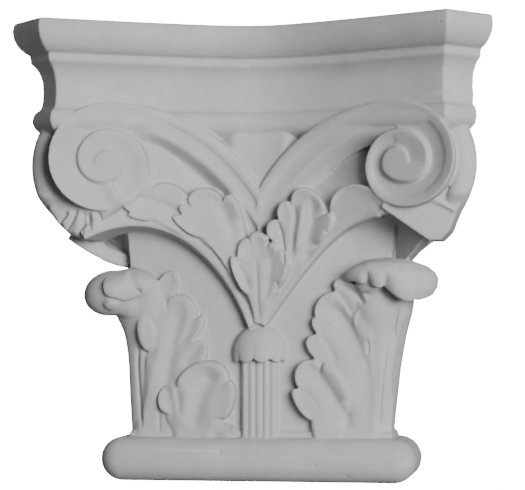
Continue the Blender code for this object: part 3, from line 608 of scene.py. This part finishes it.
CURL_RIM = ((-75, 108), (-28, 105.2), (-14, 105), (-9, 104), (-4, 103.6), (0, 104.2), (2, 105.9), (5, 103.6),
            (10, 102), (15, 101.4), (18, 101.8), (20, 103.4), (22.5, 101.2), (26.5, 98.7), (32, 96.1),
            (38, 94.2), (43, 94.2), (47, 95.6), (52, 95), (62, 96.4), (77, 98.7), (100, 101), (145, 104))


def corner_neck(bm, side):
    """The stem: rings round the bell's corner, swelling in front and flared out at the side."""
    rings = []
    for height, out, width, away in smooth_run([Vector(row) for row in NECK], 3):
        half = mix(BELL_HALF_FOOT, BELL_HALF_NECK, (height - NECK_FOOT) / NECK_HEIGHT)
        spots = [(half - width - 3, INTO_BELL), (half - width, 0.3 * out)]
        for i in range(NECK_STEPS + 1):
            turn = math.pi / 2 * i / NECK_STEPS
            wide = width * (1 - math.sin(turn))
            swell = out * (0.45 + 0.55 * math.sin(min(2.4 * turn, math.pi / 2)))
            spots.append((half - wide + (out - 0.3) * math.sin(turn) ** 2,
                          swell - (out + 3) * (1 - math.cos(turn))))
        spots += [(half + 0.5 * away, -0.35 * BELL_DEPTH), (half + away, -0.6 * BELL_DEPTH),
                  (half + away, -0.97 * BELL_DEPTH), (half - width, -0.97 * BELL_DEPTH)]
        rings.append([place(side * x, reach, height) for x, reach in spots])
    grow(bm, rings)


def rim_height(turn):
    """Height of the lip's lobed lower edge."""
    for (before, low), (after, high) in zip(CURL_RIM, CURL_RIM[1:]):
        if turn <= after:
            return mix(low, high, (turn - before) / (after - before))
    return CURL_RIM[-1][1]


def corner_curl(bm):
    """The right lip: rings turned about the bell's corner, each from below to the edge and over the top."""
    rings = []
    for turn, share, top in smooth_run([Vector(row) for row in CURL_TURNS], 14):
        angle = math.radians(turn)
        foot = (rim_height(turn) - CURL_MIDDLE) / CURL_HEIGHT
        groove = max(math.exp(-((turn - notch) / NOTCH_WIDTH) ** 2) for notch in CURL_NOTCHES)
        ring = []
        for radius, rise in LIP:
            nick = NOTCH_DEPTH * groove * ease((radius - 0.5) / 0.3) * ease((0.2 - rise) / 0.6)
            away = CURL_REACH * share * radius * (1 - nick)
            low = mix(0.1, foot, (radius - 0.3) / 0.35)
            level = mix(low, top, rise + 0.5) if rise > -0.5 else low + rise + 0.5
            ring.append(place(BELL_HALF_NECK - CURL_SINK + away * math.sin(angle),
                              away * math.cos(angle) - 0.8 * CURL_SINK, CURL_MIDDLE + CURL_HEIGHT * level))
        rings.append(ring)
    grow(bm, rings)


def pad(bm, centre, radii, lean=0.0):
    """A plump lobe: a sphere drawn out to three radii and leaned sideways."""
    ball = bmesh.ops.create_uvsphere(bm, u_segments=48, v_segments=30, radius=1.0)["verts"]
    turn = Matrix.Rotation(math.radians(lean), 3, "Y")
    for vert in ball:
        drawn = Vector([part * radius * MM for part, radius in zip(vert.co, radii)])
        vert.co = turn @ drawn + place(*centre)


corner_neck(cast, -1)
corner_neck(cast, 1)
corner_curl(cast)
pad(cast, (-79.5, 3, 99.4), (15.3, 13, 12.2), -12)
pad(cast, (-66.5, 2, 104), (13, 12, 8.6), 12)
pad(cast, (-69, 1, 94), (10, 9, 9))
pad(cast, (-60.6, 5.5, 78.5), (4.8, 3.2, 9.7), -8)
pad(cast, (59.5, 4.5, 104.5), (8, 9, 6.5))
leaf(cast, (-53, 92), 5, ((-57, 100), (-47, 111), (-45, 99)), 5.0)
mark(3.25, 6, (-73.7, 104.1), (-73.4, 103.6))
mark(2.25, (0.5, 6), (-79.6, 108.4), (-81, 104.7), (-80.7, 101.5), (-79.6, 98.8), (-76.9, 97.6),
     (-73.7, 96.6), (-69.9, 95.7), (-66.1, 96.7), (-63.4, 99.9))
mark(-1.62, (1.5, 3), (-68.2, 112.1), (-67.1, 106.8), (-65.5, 101))
mark(-2.25, 1.3, (-63.5, 100.4), (-63.2, 100.3))
mark(1.88, 2.8, (-77.7, 94.4), (-77.5, 94.1))
mark(1.25, (0.5, 3), (-81.5, 94.6), (-80.4, 92), (-77.7, 90.4), (-75, 91.4), (-73.4, 94.6))
mark(-1.25, 0.8, (76.5, 94.6), (72.8, 88.3), (71.5, 82), (71.1, 68.4), (69.7, 42.3))
mark(-0.88, 0.7, (74.4, 91.5), (71.3, 83.1), (70.2, 74.7))


# Upper leaves
# From the cap two long plaster leaves spread left and right. Each stands proud of the bell along its lower
# edge and sweeps out under the scroll, and the lobed leaves above lie on it and cover the foot of the arms.

SPREAD_HALF = 87.0
SPREAD_LEAN = 31.0
SPREAD_RISE = 7.0
SPREAD_WIDTH = 16.0
SPREAD_BACK = -3.0
SPREAD_TUCK = 0.55
SPREAD_STEPS = 60
LEFT_SPREAD = ((-5.3, 81.0), (-16.8, 115.4), (-49.0, 150.5), (-86.3, 127.1))
RIGHT_SPREAD = ((3.5, 81.5), (16.3, 99.1), (41.0, 140.1), (65.9, 138.1))
SPREAD_FOOT = {-1: 0.2, 1: 0.05}
SPREAD_SECTION = ((1.0, None), (0.55, 0.45), (0.15, 0.85), (-0.04, 0.97), (-0.1, 1.0), (-0.18, 1.0),
                  (-0.3, 0.97), (-0.45, 0.92), (-0.6, 0.86), (-0.75, 0.8), (-0.9, 0.72), (-1.0, 0.5),
                  (-1.0, None))


def spread_lean(x):
    """How much further out the upper leaves lie, the further they are from the middle."""
    return SPREAD_LEAN * (x / SPREAD_HALF) ** 2


def spread_place(x, reach, height):
    return place(x, reach + spread_lean(x), height)


def spread_leaf(bm, side, controls):
    """A long leaf: sections across its run, tucked in below its lower edge and narrow at both ends."""
    edge = [bezier(controls, i / SPREAD_STEPS) for i in range(SPREAD_STEPS + 1)]
    rings = []
    for i, spot in enumerate(edge):
        share = i / SPREAD_STEPS
        along = (edge[min(i + 1, SPREAD_STEPS)] - edge[max(i - 1, 0)]).normalized()
        up = Vector((-side * along.y, side * along.x))
        wide = SPREAD_WIDTH * mix(0.3, 1, 3 * share) * mix(1, 0.3, (share - 0.75) / 0.25)
        ring = []
        for across, lift in SPREAD_SECTION:
            there = spot - up * (across * (SPREAD_FOOT[side] if across > 0 else 1) * wide)
            reach = SPREAD_BACK
            if lift is not None:
                reach = (spread_lean(there.x) + SPREAD_RISE * lift) * (SPREAD_TUCK if across > 0.5 else 1)
            ring.append(place(there.x, reach, there.y))
        rings.append(ring)
    grow(bm, rings)


spread_leaf(cast, -1, LEFT_SPREAD)
spread_leaf(cast, 1, RIGHT_SPREAD)
leaf(cast, (-29, 126), 4, ((-55, 137), (-65, 139), (-62.5, 141.5), (-68, 145.5), (-61.5, 150.5),
     (-57, 156.5), (-53.5, 152), (-46, 157), (-36, 149)), 10.0, (0.0, 0.03), spread_place)
leaf(cast, (27, 124), 4, ((39, 141), (53, 155.5), (71.5, 140)), 10.0, (0.03, -0.06), spread_place)
leaf(cast, (-7, 98), 3.5, ((-31, 128), (-43.5, 137.5), (-38, 139.5), (-41, 145), (-36.5, 145),
     (-28.5, 155), (-17.5, 145.5), (-13, 150.5), (-8, 138)), 11.0, (-0.07, 0.02), spread_place)
leaf(cast, (9, 100), 3.5, ((7.3, 127), (5.2, 135.4), (12.1, 136.9), (11.6, 145.8), (17.9, 146.2),
     (26.9, 154.5), (37.4, 140.4), (41, 135.2), (32.6, 124.3)), 11.0, (0.02, -0.05), spread_place)
leaf(cast, (0.5, 84), 3.5, ((-6.3, 98.3), (-14.2, 114.5), (-9.4, 116), (-9.4, 125.5), (-4.1, 127),
     (0.6, 131.7), (5.9, 125.4), (10.7, 123.8), (8.6, 119.6), (17, 117.5), (12.3, 101.9)), 13.0,
     (0.0, 0.0), spread_place)
mark(-1.12, 1.7, (-11, 115.5), (-6.8, 108.2), (-4.1, 99.8))
mark(-1, 1, (-0.4, 117.6), (0.1, 101.9), (0.6, 84.1))
mark(-1, (2.4, 2.2), (8, 120.7), (7, 108.7), (5.4, 93.5))
mark(-1.6, (2.2, 4), (28.8, 151.9), (29.9, 144.6), (29.4, 136.3), (27.2, 124.8), (24.6, 113.4))
mark(-1.25, 1.5, (19.3, 146.3), (20.4, 138.4), (18.8, 129.1), (18.3, 118.6))
mark(-1.88, 0.9, (10.4, 138), (13, 130.1), (14.1, 122.8), (15.1, 113.4))
mark(1, 1.6, (24.6, 147.8), (23, 134.8), (20.9, 119.6))
mark(-2, (3, 4), (-23.6, 152.4), (-18.3, 142.4), (-14.6, 133.9), (-10.3, 123.4))
mark(-2.12, (2.2, 2.8), (-64.8, 147.8), (-56.2, 147.8), (-47.6, 144.5), (-38.5, 139.2))


# Block under the right scroll
# A plain plaster block with bevelled edges carries the right scroll. A low bank closes the corner between it
# and the scroll, and a flat web slopes from it down to the bell's flaring side.

BLOCK = ((67, 143), (91.5, 126), (97.5, 126), (102.3, 131), (106.3, 141), (96, 146.3), (86, 153), (75.5, 160))
BLOCK_MIDDLE = (88, 146)
BLOCK_REACH = 29.5
BLOCK_BEVEL = 0.8
BANK = ((90, 146), (106.3, 141), (110, 150), (108, 159), (98, 163), (90, 158))
BANK_REACH = 30.5
WEB = ((73.5, 137, 2), (88.5, 127, 22), (78, 116, 7), (71.5, 114, -2))
WEB_BACK = -26.0


def drawn_in(outline, middle, inward, reach):
    """A flat ring of the outline at one reach, drawn in towards its middle by a share."""
    return [place(mix(x, middle[0], inward), reach, mix(z, middle[1], inward)) for x, z in outline]


grow(cast, [drawn_in(BLOCK, BLOCK_MIDDLE, inward, reach)
            for inward, reach in ((0, INTO_BELL), (0, BLOCK_REACH - BLOCK_BEVEL), (0.03, BLOCK_REACH))])
grow(cast, [[place(x, reach, z) for x, z in BANK] for reach in (INTO_BELL, BANK_REACH)])
mark(1.2, 1.0, (94, 147.2), (100, 143.6), (106.5, 139.8))
grow(cast, [[place(x, WEB_BACK, z) for x, z, reach in WEB], [place(x, reach, z) for x, z, reach in WEB]])
mark(-2.5, (0.6, 1.2), (72.7, 137), (71.3, 127.1), (70, 116.6))


# Folded leaf under the left scroll
# Under the left scroll a plaster leaf is gathered in a fan of pleats. Its back folds round the corner in a
# thin rolled edge that slants down to the bell. A wedge of plaster fills the space between it and the side.

FAN = ((-66, 146), (-78, 136), (-88.6, 126.4), (-96, 129.5), (-103, 136), (-108, 143), (-104, 160),
       (-80, 166))
FAN_MIDDLE = (-86, 150)
FAN_ROUNDING = ((0, INTO_BELL), (0, 28.0), (0.02, 30.0), (0.06, 31.5), (0.12, 32.5))
PLEATS = (((-101.3, 136), (-96.1, 141.5)), ((-97.6, 131.5), (-91.1, 143)), ((-88.3, 126), (-88, 142.5)),
          ((-83.9, 130.8), (-85.5, 141.5)), ((-78.3, 136.6), (-80.9, 141.2)))
PLEAT_RIDGES = (((-99.3, 133.7), (-93.8, 142)), ((-92.5, 128.5), (-89.8, 142)), ((-81.5, 133), (-83, 141.5)))
FOLD = ((-99, 131.5, 14), (-94, 127.5, 9), (-86, 122.2, 3), (-78, 118.2, -4), (-70, 116, -9))
FOLD_RADIUS = 1.8
FOLD_WIDTH = 4.4
FOLD_ACROSS = Vector((0.55, 0.83))
FOLD_STEPS = 16
WEDGE_TOP = 138.0
WEDGE_FRONT = -22.0
WEDGE_BACK = -30.0

grow(cast, [drawn_in(FAN, FAN_MIDDLE, inward, reach) for inward, reach in FAN_ROUNDING])
for foot, head in PLEATS:
    mark(-2.0, 1.2, foot, head)
for foot, head in PLEAT_RIDGES:
    mark(1.0, 1.8, foot, head)

fold = smooth_run(FOLD, 6)
rings = []
for x, z, reach in fold:
    middle = Vector((x, z)) - FOLD_ACROSS * (FOLD_WIDTH - FOLD_RADIUS)
    ring = []
    for k in range(FOLD_STEPS):
        turn = 2 * math.pi * k / FOLD_STEPS
        across = FOLD_ACROSS * FOLD_RADIUS * math.cos(turn)
        ring.append(place(middle.x + across.x, reach + FOLD_RADIUS * math.sin(turn), middle.y + across.y))
    rings.append(ring)
grow(cast, rings)

rings = []
for x, z, reach in fold:
    rings.append([place(x, reach, z), place(x + 1.7, reach - 0.5, z + 2.6),
                  place(x + 3.5, WEDGE_FRONT, z + 4.5), place(x + 4.5, WEDGE_FRONT, WEDGE_TOP),
                  place(x + 4.5, WEDGE_BACK, WEDGE_TOP), place(x, WEDGE_BACK, z)])
grow(cast, rings)


# The cast
# All these forms came out of one mould in one pour, so their meshes are fused and softened the way plaster
# fills a mould. The marks are then worked into the front, with a few small nicks and pits, and the mesh is
# named as one piece.

VOXEL = 0.7
FUSED_ROUNDS = 2
KEPT_TRIANGLES = 190000
LIP_MIDDLE, LIP_RADII, LIP_ROUNDS = (-76, 0, 100), (21, 19, 14.5), 40
UNDER_MIDDLE, UNDER_RADII, UNDER_ROUNDS = (98, -12, 138), (24, 34, 27), 16
MARK_FADE = 0.16
FRONT_SLOPE = 1.6

bmesh.ops.recalc_face_normals(cast, faces=cast.faces)
mesh = bpy.data.meshes.new("capital_cast")
cast.to_mesh(mesh)
cast.free()
capital_cast = bpy.data.objects.new("capital_cast", mesh)
bpy.context.scene.collection.objects.link(capital_cast)


def settle(item, kind, **values):
    """Runs one modifier on the piece and keeps its result as the piece's own mesh."""
    modifier = item.modifiers.new(kind.lower(), kind)
    for name, value in values.items():
        setattr(modifier, name, value)
    graph = bpy.context.evaluated_depsgraph_get()
    made = bpy.data.meshes.new_from_object(item.evaluated_get(graph))
    item.modifiers.clear()
    item.data = made


settle(capital_cast, "REMESH", mode="VOXEL", voxel_size=VOXEL * MM, adaptivity=0.0)
settle(capital_cast, "SMOOTH", factor=0.5, iterations=FUSED_ROUNDS)


def soften(item, centre, radii, rounds):
    """Rubs down what lies within a rounded region of the piece."""
    spots = numpy.empty(len(item.data.vertices) * 3)
    item.data.vertices.foreach_get("co", spots)
    away = (spots.reshape(-1, 3) - place(*centre)) / (numpy.array(radii) * MM)
    inside = numpy.flatnonzero((away ** 2).sum(axis=1) < 1)
    item.vertex_groups.new(name="rubbed").add(inside.tolist(), 1.0, "REPLACE")
    settle(item, "SMOOTH", factor=0.5, iterations=rounds, vertex_group="rubbed")
    item.vertex_groups.clear()


soften(capital_cast, LIP_MIDDLE, LIP_RADII, LIP_ROUNDS)
for side in (-1, 1):
    soften(capital_cast, (side * UNDER_MIDDLE[0],) + UNDER_MIDDLE[1:], UNDER_RADII, UNDER_ROUNDS)


def work_marks(mesh, marks):
    """Moves the front of the mesh out or in along the marks, which fade to both sides and at their ends."""
    count = len(mesh.vertices)
    spots = numpy.empty(count * 3)
    mesh.vertices.foreach_get("co", spots)
    spots = spots.reshape(-1, 3)
    facing = numpy.empty(count * 3)
    mesh.vertices.foreach_get("normal", facing)
    front = numpy.clip(-FRONT_SLOPE * facing.reshape(-1, 3)[:, 1], 0, 1) * (spots[:, 1] < place(0, -1, 0).y)
    flat = spots[:, [0, 2]] / MM
    for lift, widths, path in marks:
        runs = [(numpy.array(start), numpy.subtract(end, start)) for start, end in zip(path, path[1:])]
        length = sum(math.hypot(*run) for start, run in runs)
        nearest = numpy.full(count, 1e9)
        beyond = numpy.zeros(count)
        walked = numpy.zeros(count)
        done = 0.0
        for start, run in runs:
            share = numpy.clip(((flat - start) @ run) / (run @ run), 0, 1)
            off = flat - start - share[:, None] * run
            apart = numpy.hypot(*off.T)
            closer = apart < nearest
            nearest = numpy.where(closer, apart, nearest)
            beyond = numpy.where(closer, run[0] * off[:, 1] - run[1] * off[:, 0], beyond)
            walked = numpy.where(closer, done + share * math.hypot(*run), walked)
            done += math.hypot(*run)
        fade = 1.0
        if length > 1:
            fade = numpy.clip(numpy.minimum(walked, length - walked) / (MARK_FADE * length), 0, 1)
        width = numpy.where(beyond > 0, widths[1], widths[0])
        spots[:, 1] -= lift * MM * fade * numpy.exp(-(nearest / width) ** 2) * front
    mesh.vertices.foreach_set("co", spots.ravel())
    mesh.update()


# Nicks and pits
mark(-0.75, 1.1, (-20.6, 16.3), (-18.5, 16.1))
mark(-0.62, 0.6, (30.7, 9.8), (30.8, 9.6))
mark(-0.62, 0.6, (46.9, 4.2), (47.1, 4.2))
mark(0.62, 0.7, (73.2, 115.1), (73.7, 112.5))
mark(-0.75, 0.6, (-5.1, 218.5), (-4.9, 218.3))
mark(-0.75, 0.7, (-6.3, 183), (-6.1, 182.9))
mark(-1, 0.8, (35.9, 130.5), (38.5, 131.5))
mark(-1, 0.7, (10.7, 105), (10.7, 102.9))
mark(-1, 0.7, (-9.2, 99.8), (-8.2, 96.7))
work_marks(capital_cast.data, tool_marks)
settle(capital_cast, "DECIMATE", ratio=min(1.0, KEPT_TRIANGLES / (2 * len(capital_cast.data.polygons))))
capital_cast.data.shade_smooth()


# Plaster
# Bare cast plaster of Paris: dry, matt and even, grey in the photograph. It has faint clouds from drying, a
# fine grain, and pinholes where air was trapped against the mould.

def linear(hex_colour):
    """An sRGB hex colour as linear values for a node."""
    values = [int(hex_colour[i:i + 2], 16) / 255 for i in (0, 2, 4)]
    return [v / 12.92 if v <= 0.04045 else ((v + 0.055) / 1.055) ** 2.4 for v in values] + [1.0]


def add_node(tree, kind, settings=None, **links):
    """Adds a node, sets its values and links the sockets named."""
    node = tree.nodes.new(kind)
    for name, value in (settings or {}).items():
        if hasattr(node, name):
            setattr(node, name, value)
        else:
            node.inputs[name].default_value = value
    for name, socket in links.items():
        tree.links.new(socket, node.inputs[name.replace("_", " ")])
    return node


PLASTER_PALE = "bcbcbb"
PLASTER_DAMP = "aeaeae"
CLOUD = 30.0 * MM
SPECKLE = 4.0 * MM
GRAIN = 0.8 * MM
GRAIN_DEPTH = 0.3 * MM
BUBBLE = 9.0 * MM
BUBBLE_DEPTH = 0.5 * MM
MATT = 0.85
SHEEN = 0.25
CLOUD_START = (0.0, 0.0, 0.05)
CLOUD_RANGE = (0.55, 0.95)
BUBBLE_RANGE = (0.03, 0.08)

plaster = bpy.data.materials.new("cast_plaster_of_paris")
plaster.use_nodes = True
tree = plaster.node_tree
shader = tree.nodes["Principled BSDF"]
shader.inputs["Roughness"].default_value = MATT
shader.inputs["Specular IOR Level"].default_value = SHEEN
spot = add_node(tree, "ShaderNodeTexCoord").outputs["Object"]
where = add_node(tree, "ShaderNodeMapping", {"Location": CLOUD_START}, Vector=spot).outputs["Vector"]
cloud = add_node(tree, "ShaderNodeTexNoise", {"Scale": 1 / CLOUD, "Detail": 4.0, "Roughness": 0.6},
                 Vector=where)
speckle = add_node(tree, "ShaderNodeTexNoise", {"Scale": 1 / SPECKLE, "Detail": 3.0, "Roughness": 0.7},
                   Vector=where)
blend = add_node(tree, "ShaderNodeMath", {"operation": "MULTIPLY_ADD"})
tree.links.new(speckle.outputs["Fac"], blend.inputs[0])
blend.inputs[1].default_value = 0.5
tree.links.new(cloud.outputs["Fac"], blend.inputs[2])
share = add_node(tree, "ShaderNodeMapRange", {"From Min": CLOUD_RANGE[0], "From Max": CLOUD_RANGE[1]},
                 Value=blend.outputs[0])
tone = add_node(tree, "ShaderNodeMix", {"data_type": "RGBA"})
tree.links.new(share.outputs["Result"], tone.inputs[0])
tone.inputs[6].default_value = linear(PLASTER_DAMP)
tone.inputs[7].default_value = linear(PLASTER_PALE)
cells = add_node(tree, "ShaderNodeTexVoronoi", {"Scale": 1 / BUBBLE, "Randomness": 1.0}, Vector=where)
pore = add_node(tree, "ShaderNodeMapRange", {"From Min": BUBBLE_RANGE[0], "From Max": BUBBLE_RANGE[1]},
                Value=cells.outputs["Distance"])
grain = add_node(tree, "ShaderNodeTexNoise", {"Scale": 1 / GRAIN, "Detail": 3.0, "Roughness": 0.6},
                 Vector=where)
grained = add_node(tree, "ShaderNodeBump", {"Strength": 0.25, "Distance": GRAIN_DEPTH},
                   Height=grain.outputs["Fac"])
pitted = add_node(tree, "ShaderNodeBump", {"Strength": 0.6, "Distance": BUBBLE_DEPTH},
                  Height=pore.outputs["Result"], Normal=grained.outputs["Normal"])
tree.links.new(tone.outputs[2], shader.inputs["Base Color"])
tree.links.new(pitted.outputs["Normal"], shader.inputs["Normal"])
capital_cast.data.materials.clear()
capital_cast.data.materials.append(plaster)
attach(capital_cast, "root")
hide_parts("capital")


# Setting
# White paper lies under the capital and hangs behind it. One soft lamp stands to the right of the camera, and
# the room adds a faint fill.

PAPER_GLOW = 20.0
FLOOR_SIZE = 8.0
BACKDROP_SIZE = 12.0
BACKDROP_DISTANCE = 4.0
ROOM_FILL = 0.12
LAMP_TARGET = Vector((0, 0, 120.0 * MM))
LAMP_SIZE = 0.8
LAMP_DISTANCE = 1.6
LAMP_POWER = 44.0
LAMP_AZIMUTH = 35.0
LAMP_ELEVATION = 6.0


def studio_white(name, colour, glow):
    """White paper with a glow of its own, so that it stays white under a lamp aimed at the capital."""
    paper = bpy.data.materials.new(name)
    paper.use_nodes = True
    paper_shader = paper.node_tree.nodes["Principled BSDF"]
    paper_shader.inputs["Base Color"].default_value = linear(colour)
    paper_shader.inputs["Roughness"].default_value = 1.0
    paper_shader.inputs["Emission Color"].default_value = (1, 1, 1, 1)
    paper_shader.inputs["Emission Strength"].default_value = glow
    return paper


def stage_sheet(name, material, size, place_at, turn):
    bpy.ops.mesh.primitive_plane_add(size=size, location=place_at, rotation=turn)
    sheet = bpy.context.object
    sheet.name = name
    sheet.data.materials.append(material)
    sheet.visible_diffuse = False
    sheet.visible_glossy = False


stage_sheet("floor", studio_white("white_floor", "f2f2f2", PAPER_GLOW), FLOOR_SIZE, (0, 0, 0), (0, 0, 0))
stage_sheet("backdrop", studio_white("white_backdrop", "ffffff", PAPER_GLOW), BACKDROP_SIZE,
            (0, BACKDROP_DISTANCE, 0), (math.pi / 2, 0, 0))

world = bpy.context.scene.world or bpy.data.worlds.new("room")
bpy.context.scene.world = world
world.use_nodes = True
world.node_tree.nodes["Background"].inputs["Color"].default_value = (1, 1, 1, 1)
world.node_tree.nodes["Background"].inputs["Strength"].default_value = ROOM_FILL

turn, rise = math.radians(LAMP_AZIMUTH), math.radians(LAMP_ELEVATION)
away = Vector((math.sin(turn) * math.cos(rise), -math.cos(turn) * math.cos(rise), math.sin(rise)))
lamp_data = bpy.data.lights.new("key", "AREA")
lamp_data.size = LAMP_SIZE
lamp_data.energy = LAMP_POWER
lamp = bpy.data.objects.new("key", lamp_data)
lamp.location = LAMP_TARGET + away * LAMP_DISTANCE
lamp.rotation_euler = (-away).to_track_quat("-Z", "Y").to_euler()
bpy.context.scene.collection.objects.link(lamp)


# Camera
# The camera is fitted to the photograph: a little to the right of the middle and below mid height. Its lens
# follows from the millimetres that one pixel of the photo covers at the bell's face, and its turn and tilt
# from the pixel that lies straight in front of it.

VIEW_TURN = math.radians(9.0)
VIEW_DISTANCE = 1.148
VIEW_HEIGHT = 0.0925
VIEW_SCALE = 0.529
PHOTO_WIDTH, PHOTO_HEIGHT = 525, 490
EYE_COLUMN, EYE_ROW = 260.0, 306.0
SENSOR = 36.0

camera_data = bpy.data.cameras.new("camera")
focal_pixels = VIEW_DISTANCE / (VIEW_SCALE * MM)
camera_data.sensor_width = SENSOR
camera_data.lens = SENSOR * focal_pixels / PHOTO_WIDTH
camera_data.clip_start = 0.05
camera = bpy.data.objects.new("camera", camera_data)
target = place(0, 0, 0)
camera.location = (target.x + VIEW_DISTANCE * math.sin(VIEW_TURN),
                   target.y - VIEW_DISTANCE * math.cos(VIEW_TURN), VIEW_HEIGHT)
pitch = math.atan((EYE_ROW - PHOTO_HEIGHT / 2) / focal_pixels)
yaw = math.atan((PHOTO_WIDTH / 2 - EYE_COLUMN) / focal_pixels)
camera.rotation_euler = (math.pi / 2 + pitch, 0, VIEW_TURN - yaw)
bpy.context.scene.collection.objects.link(camera)
bpy.context.scene.camera = camera
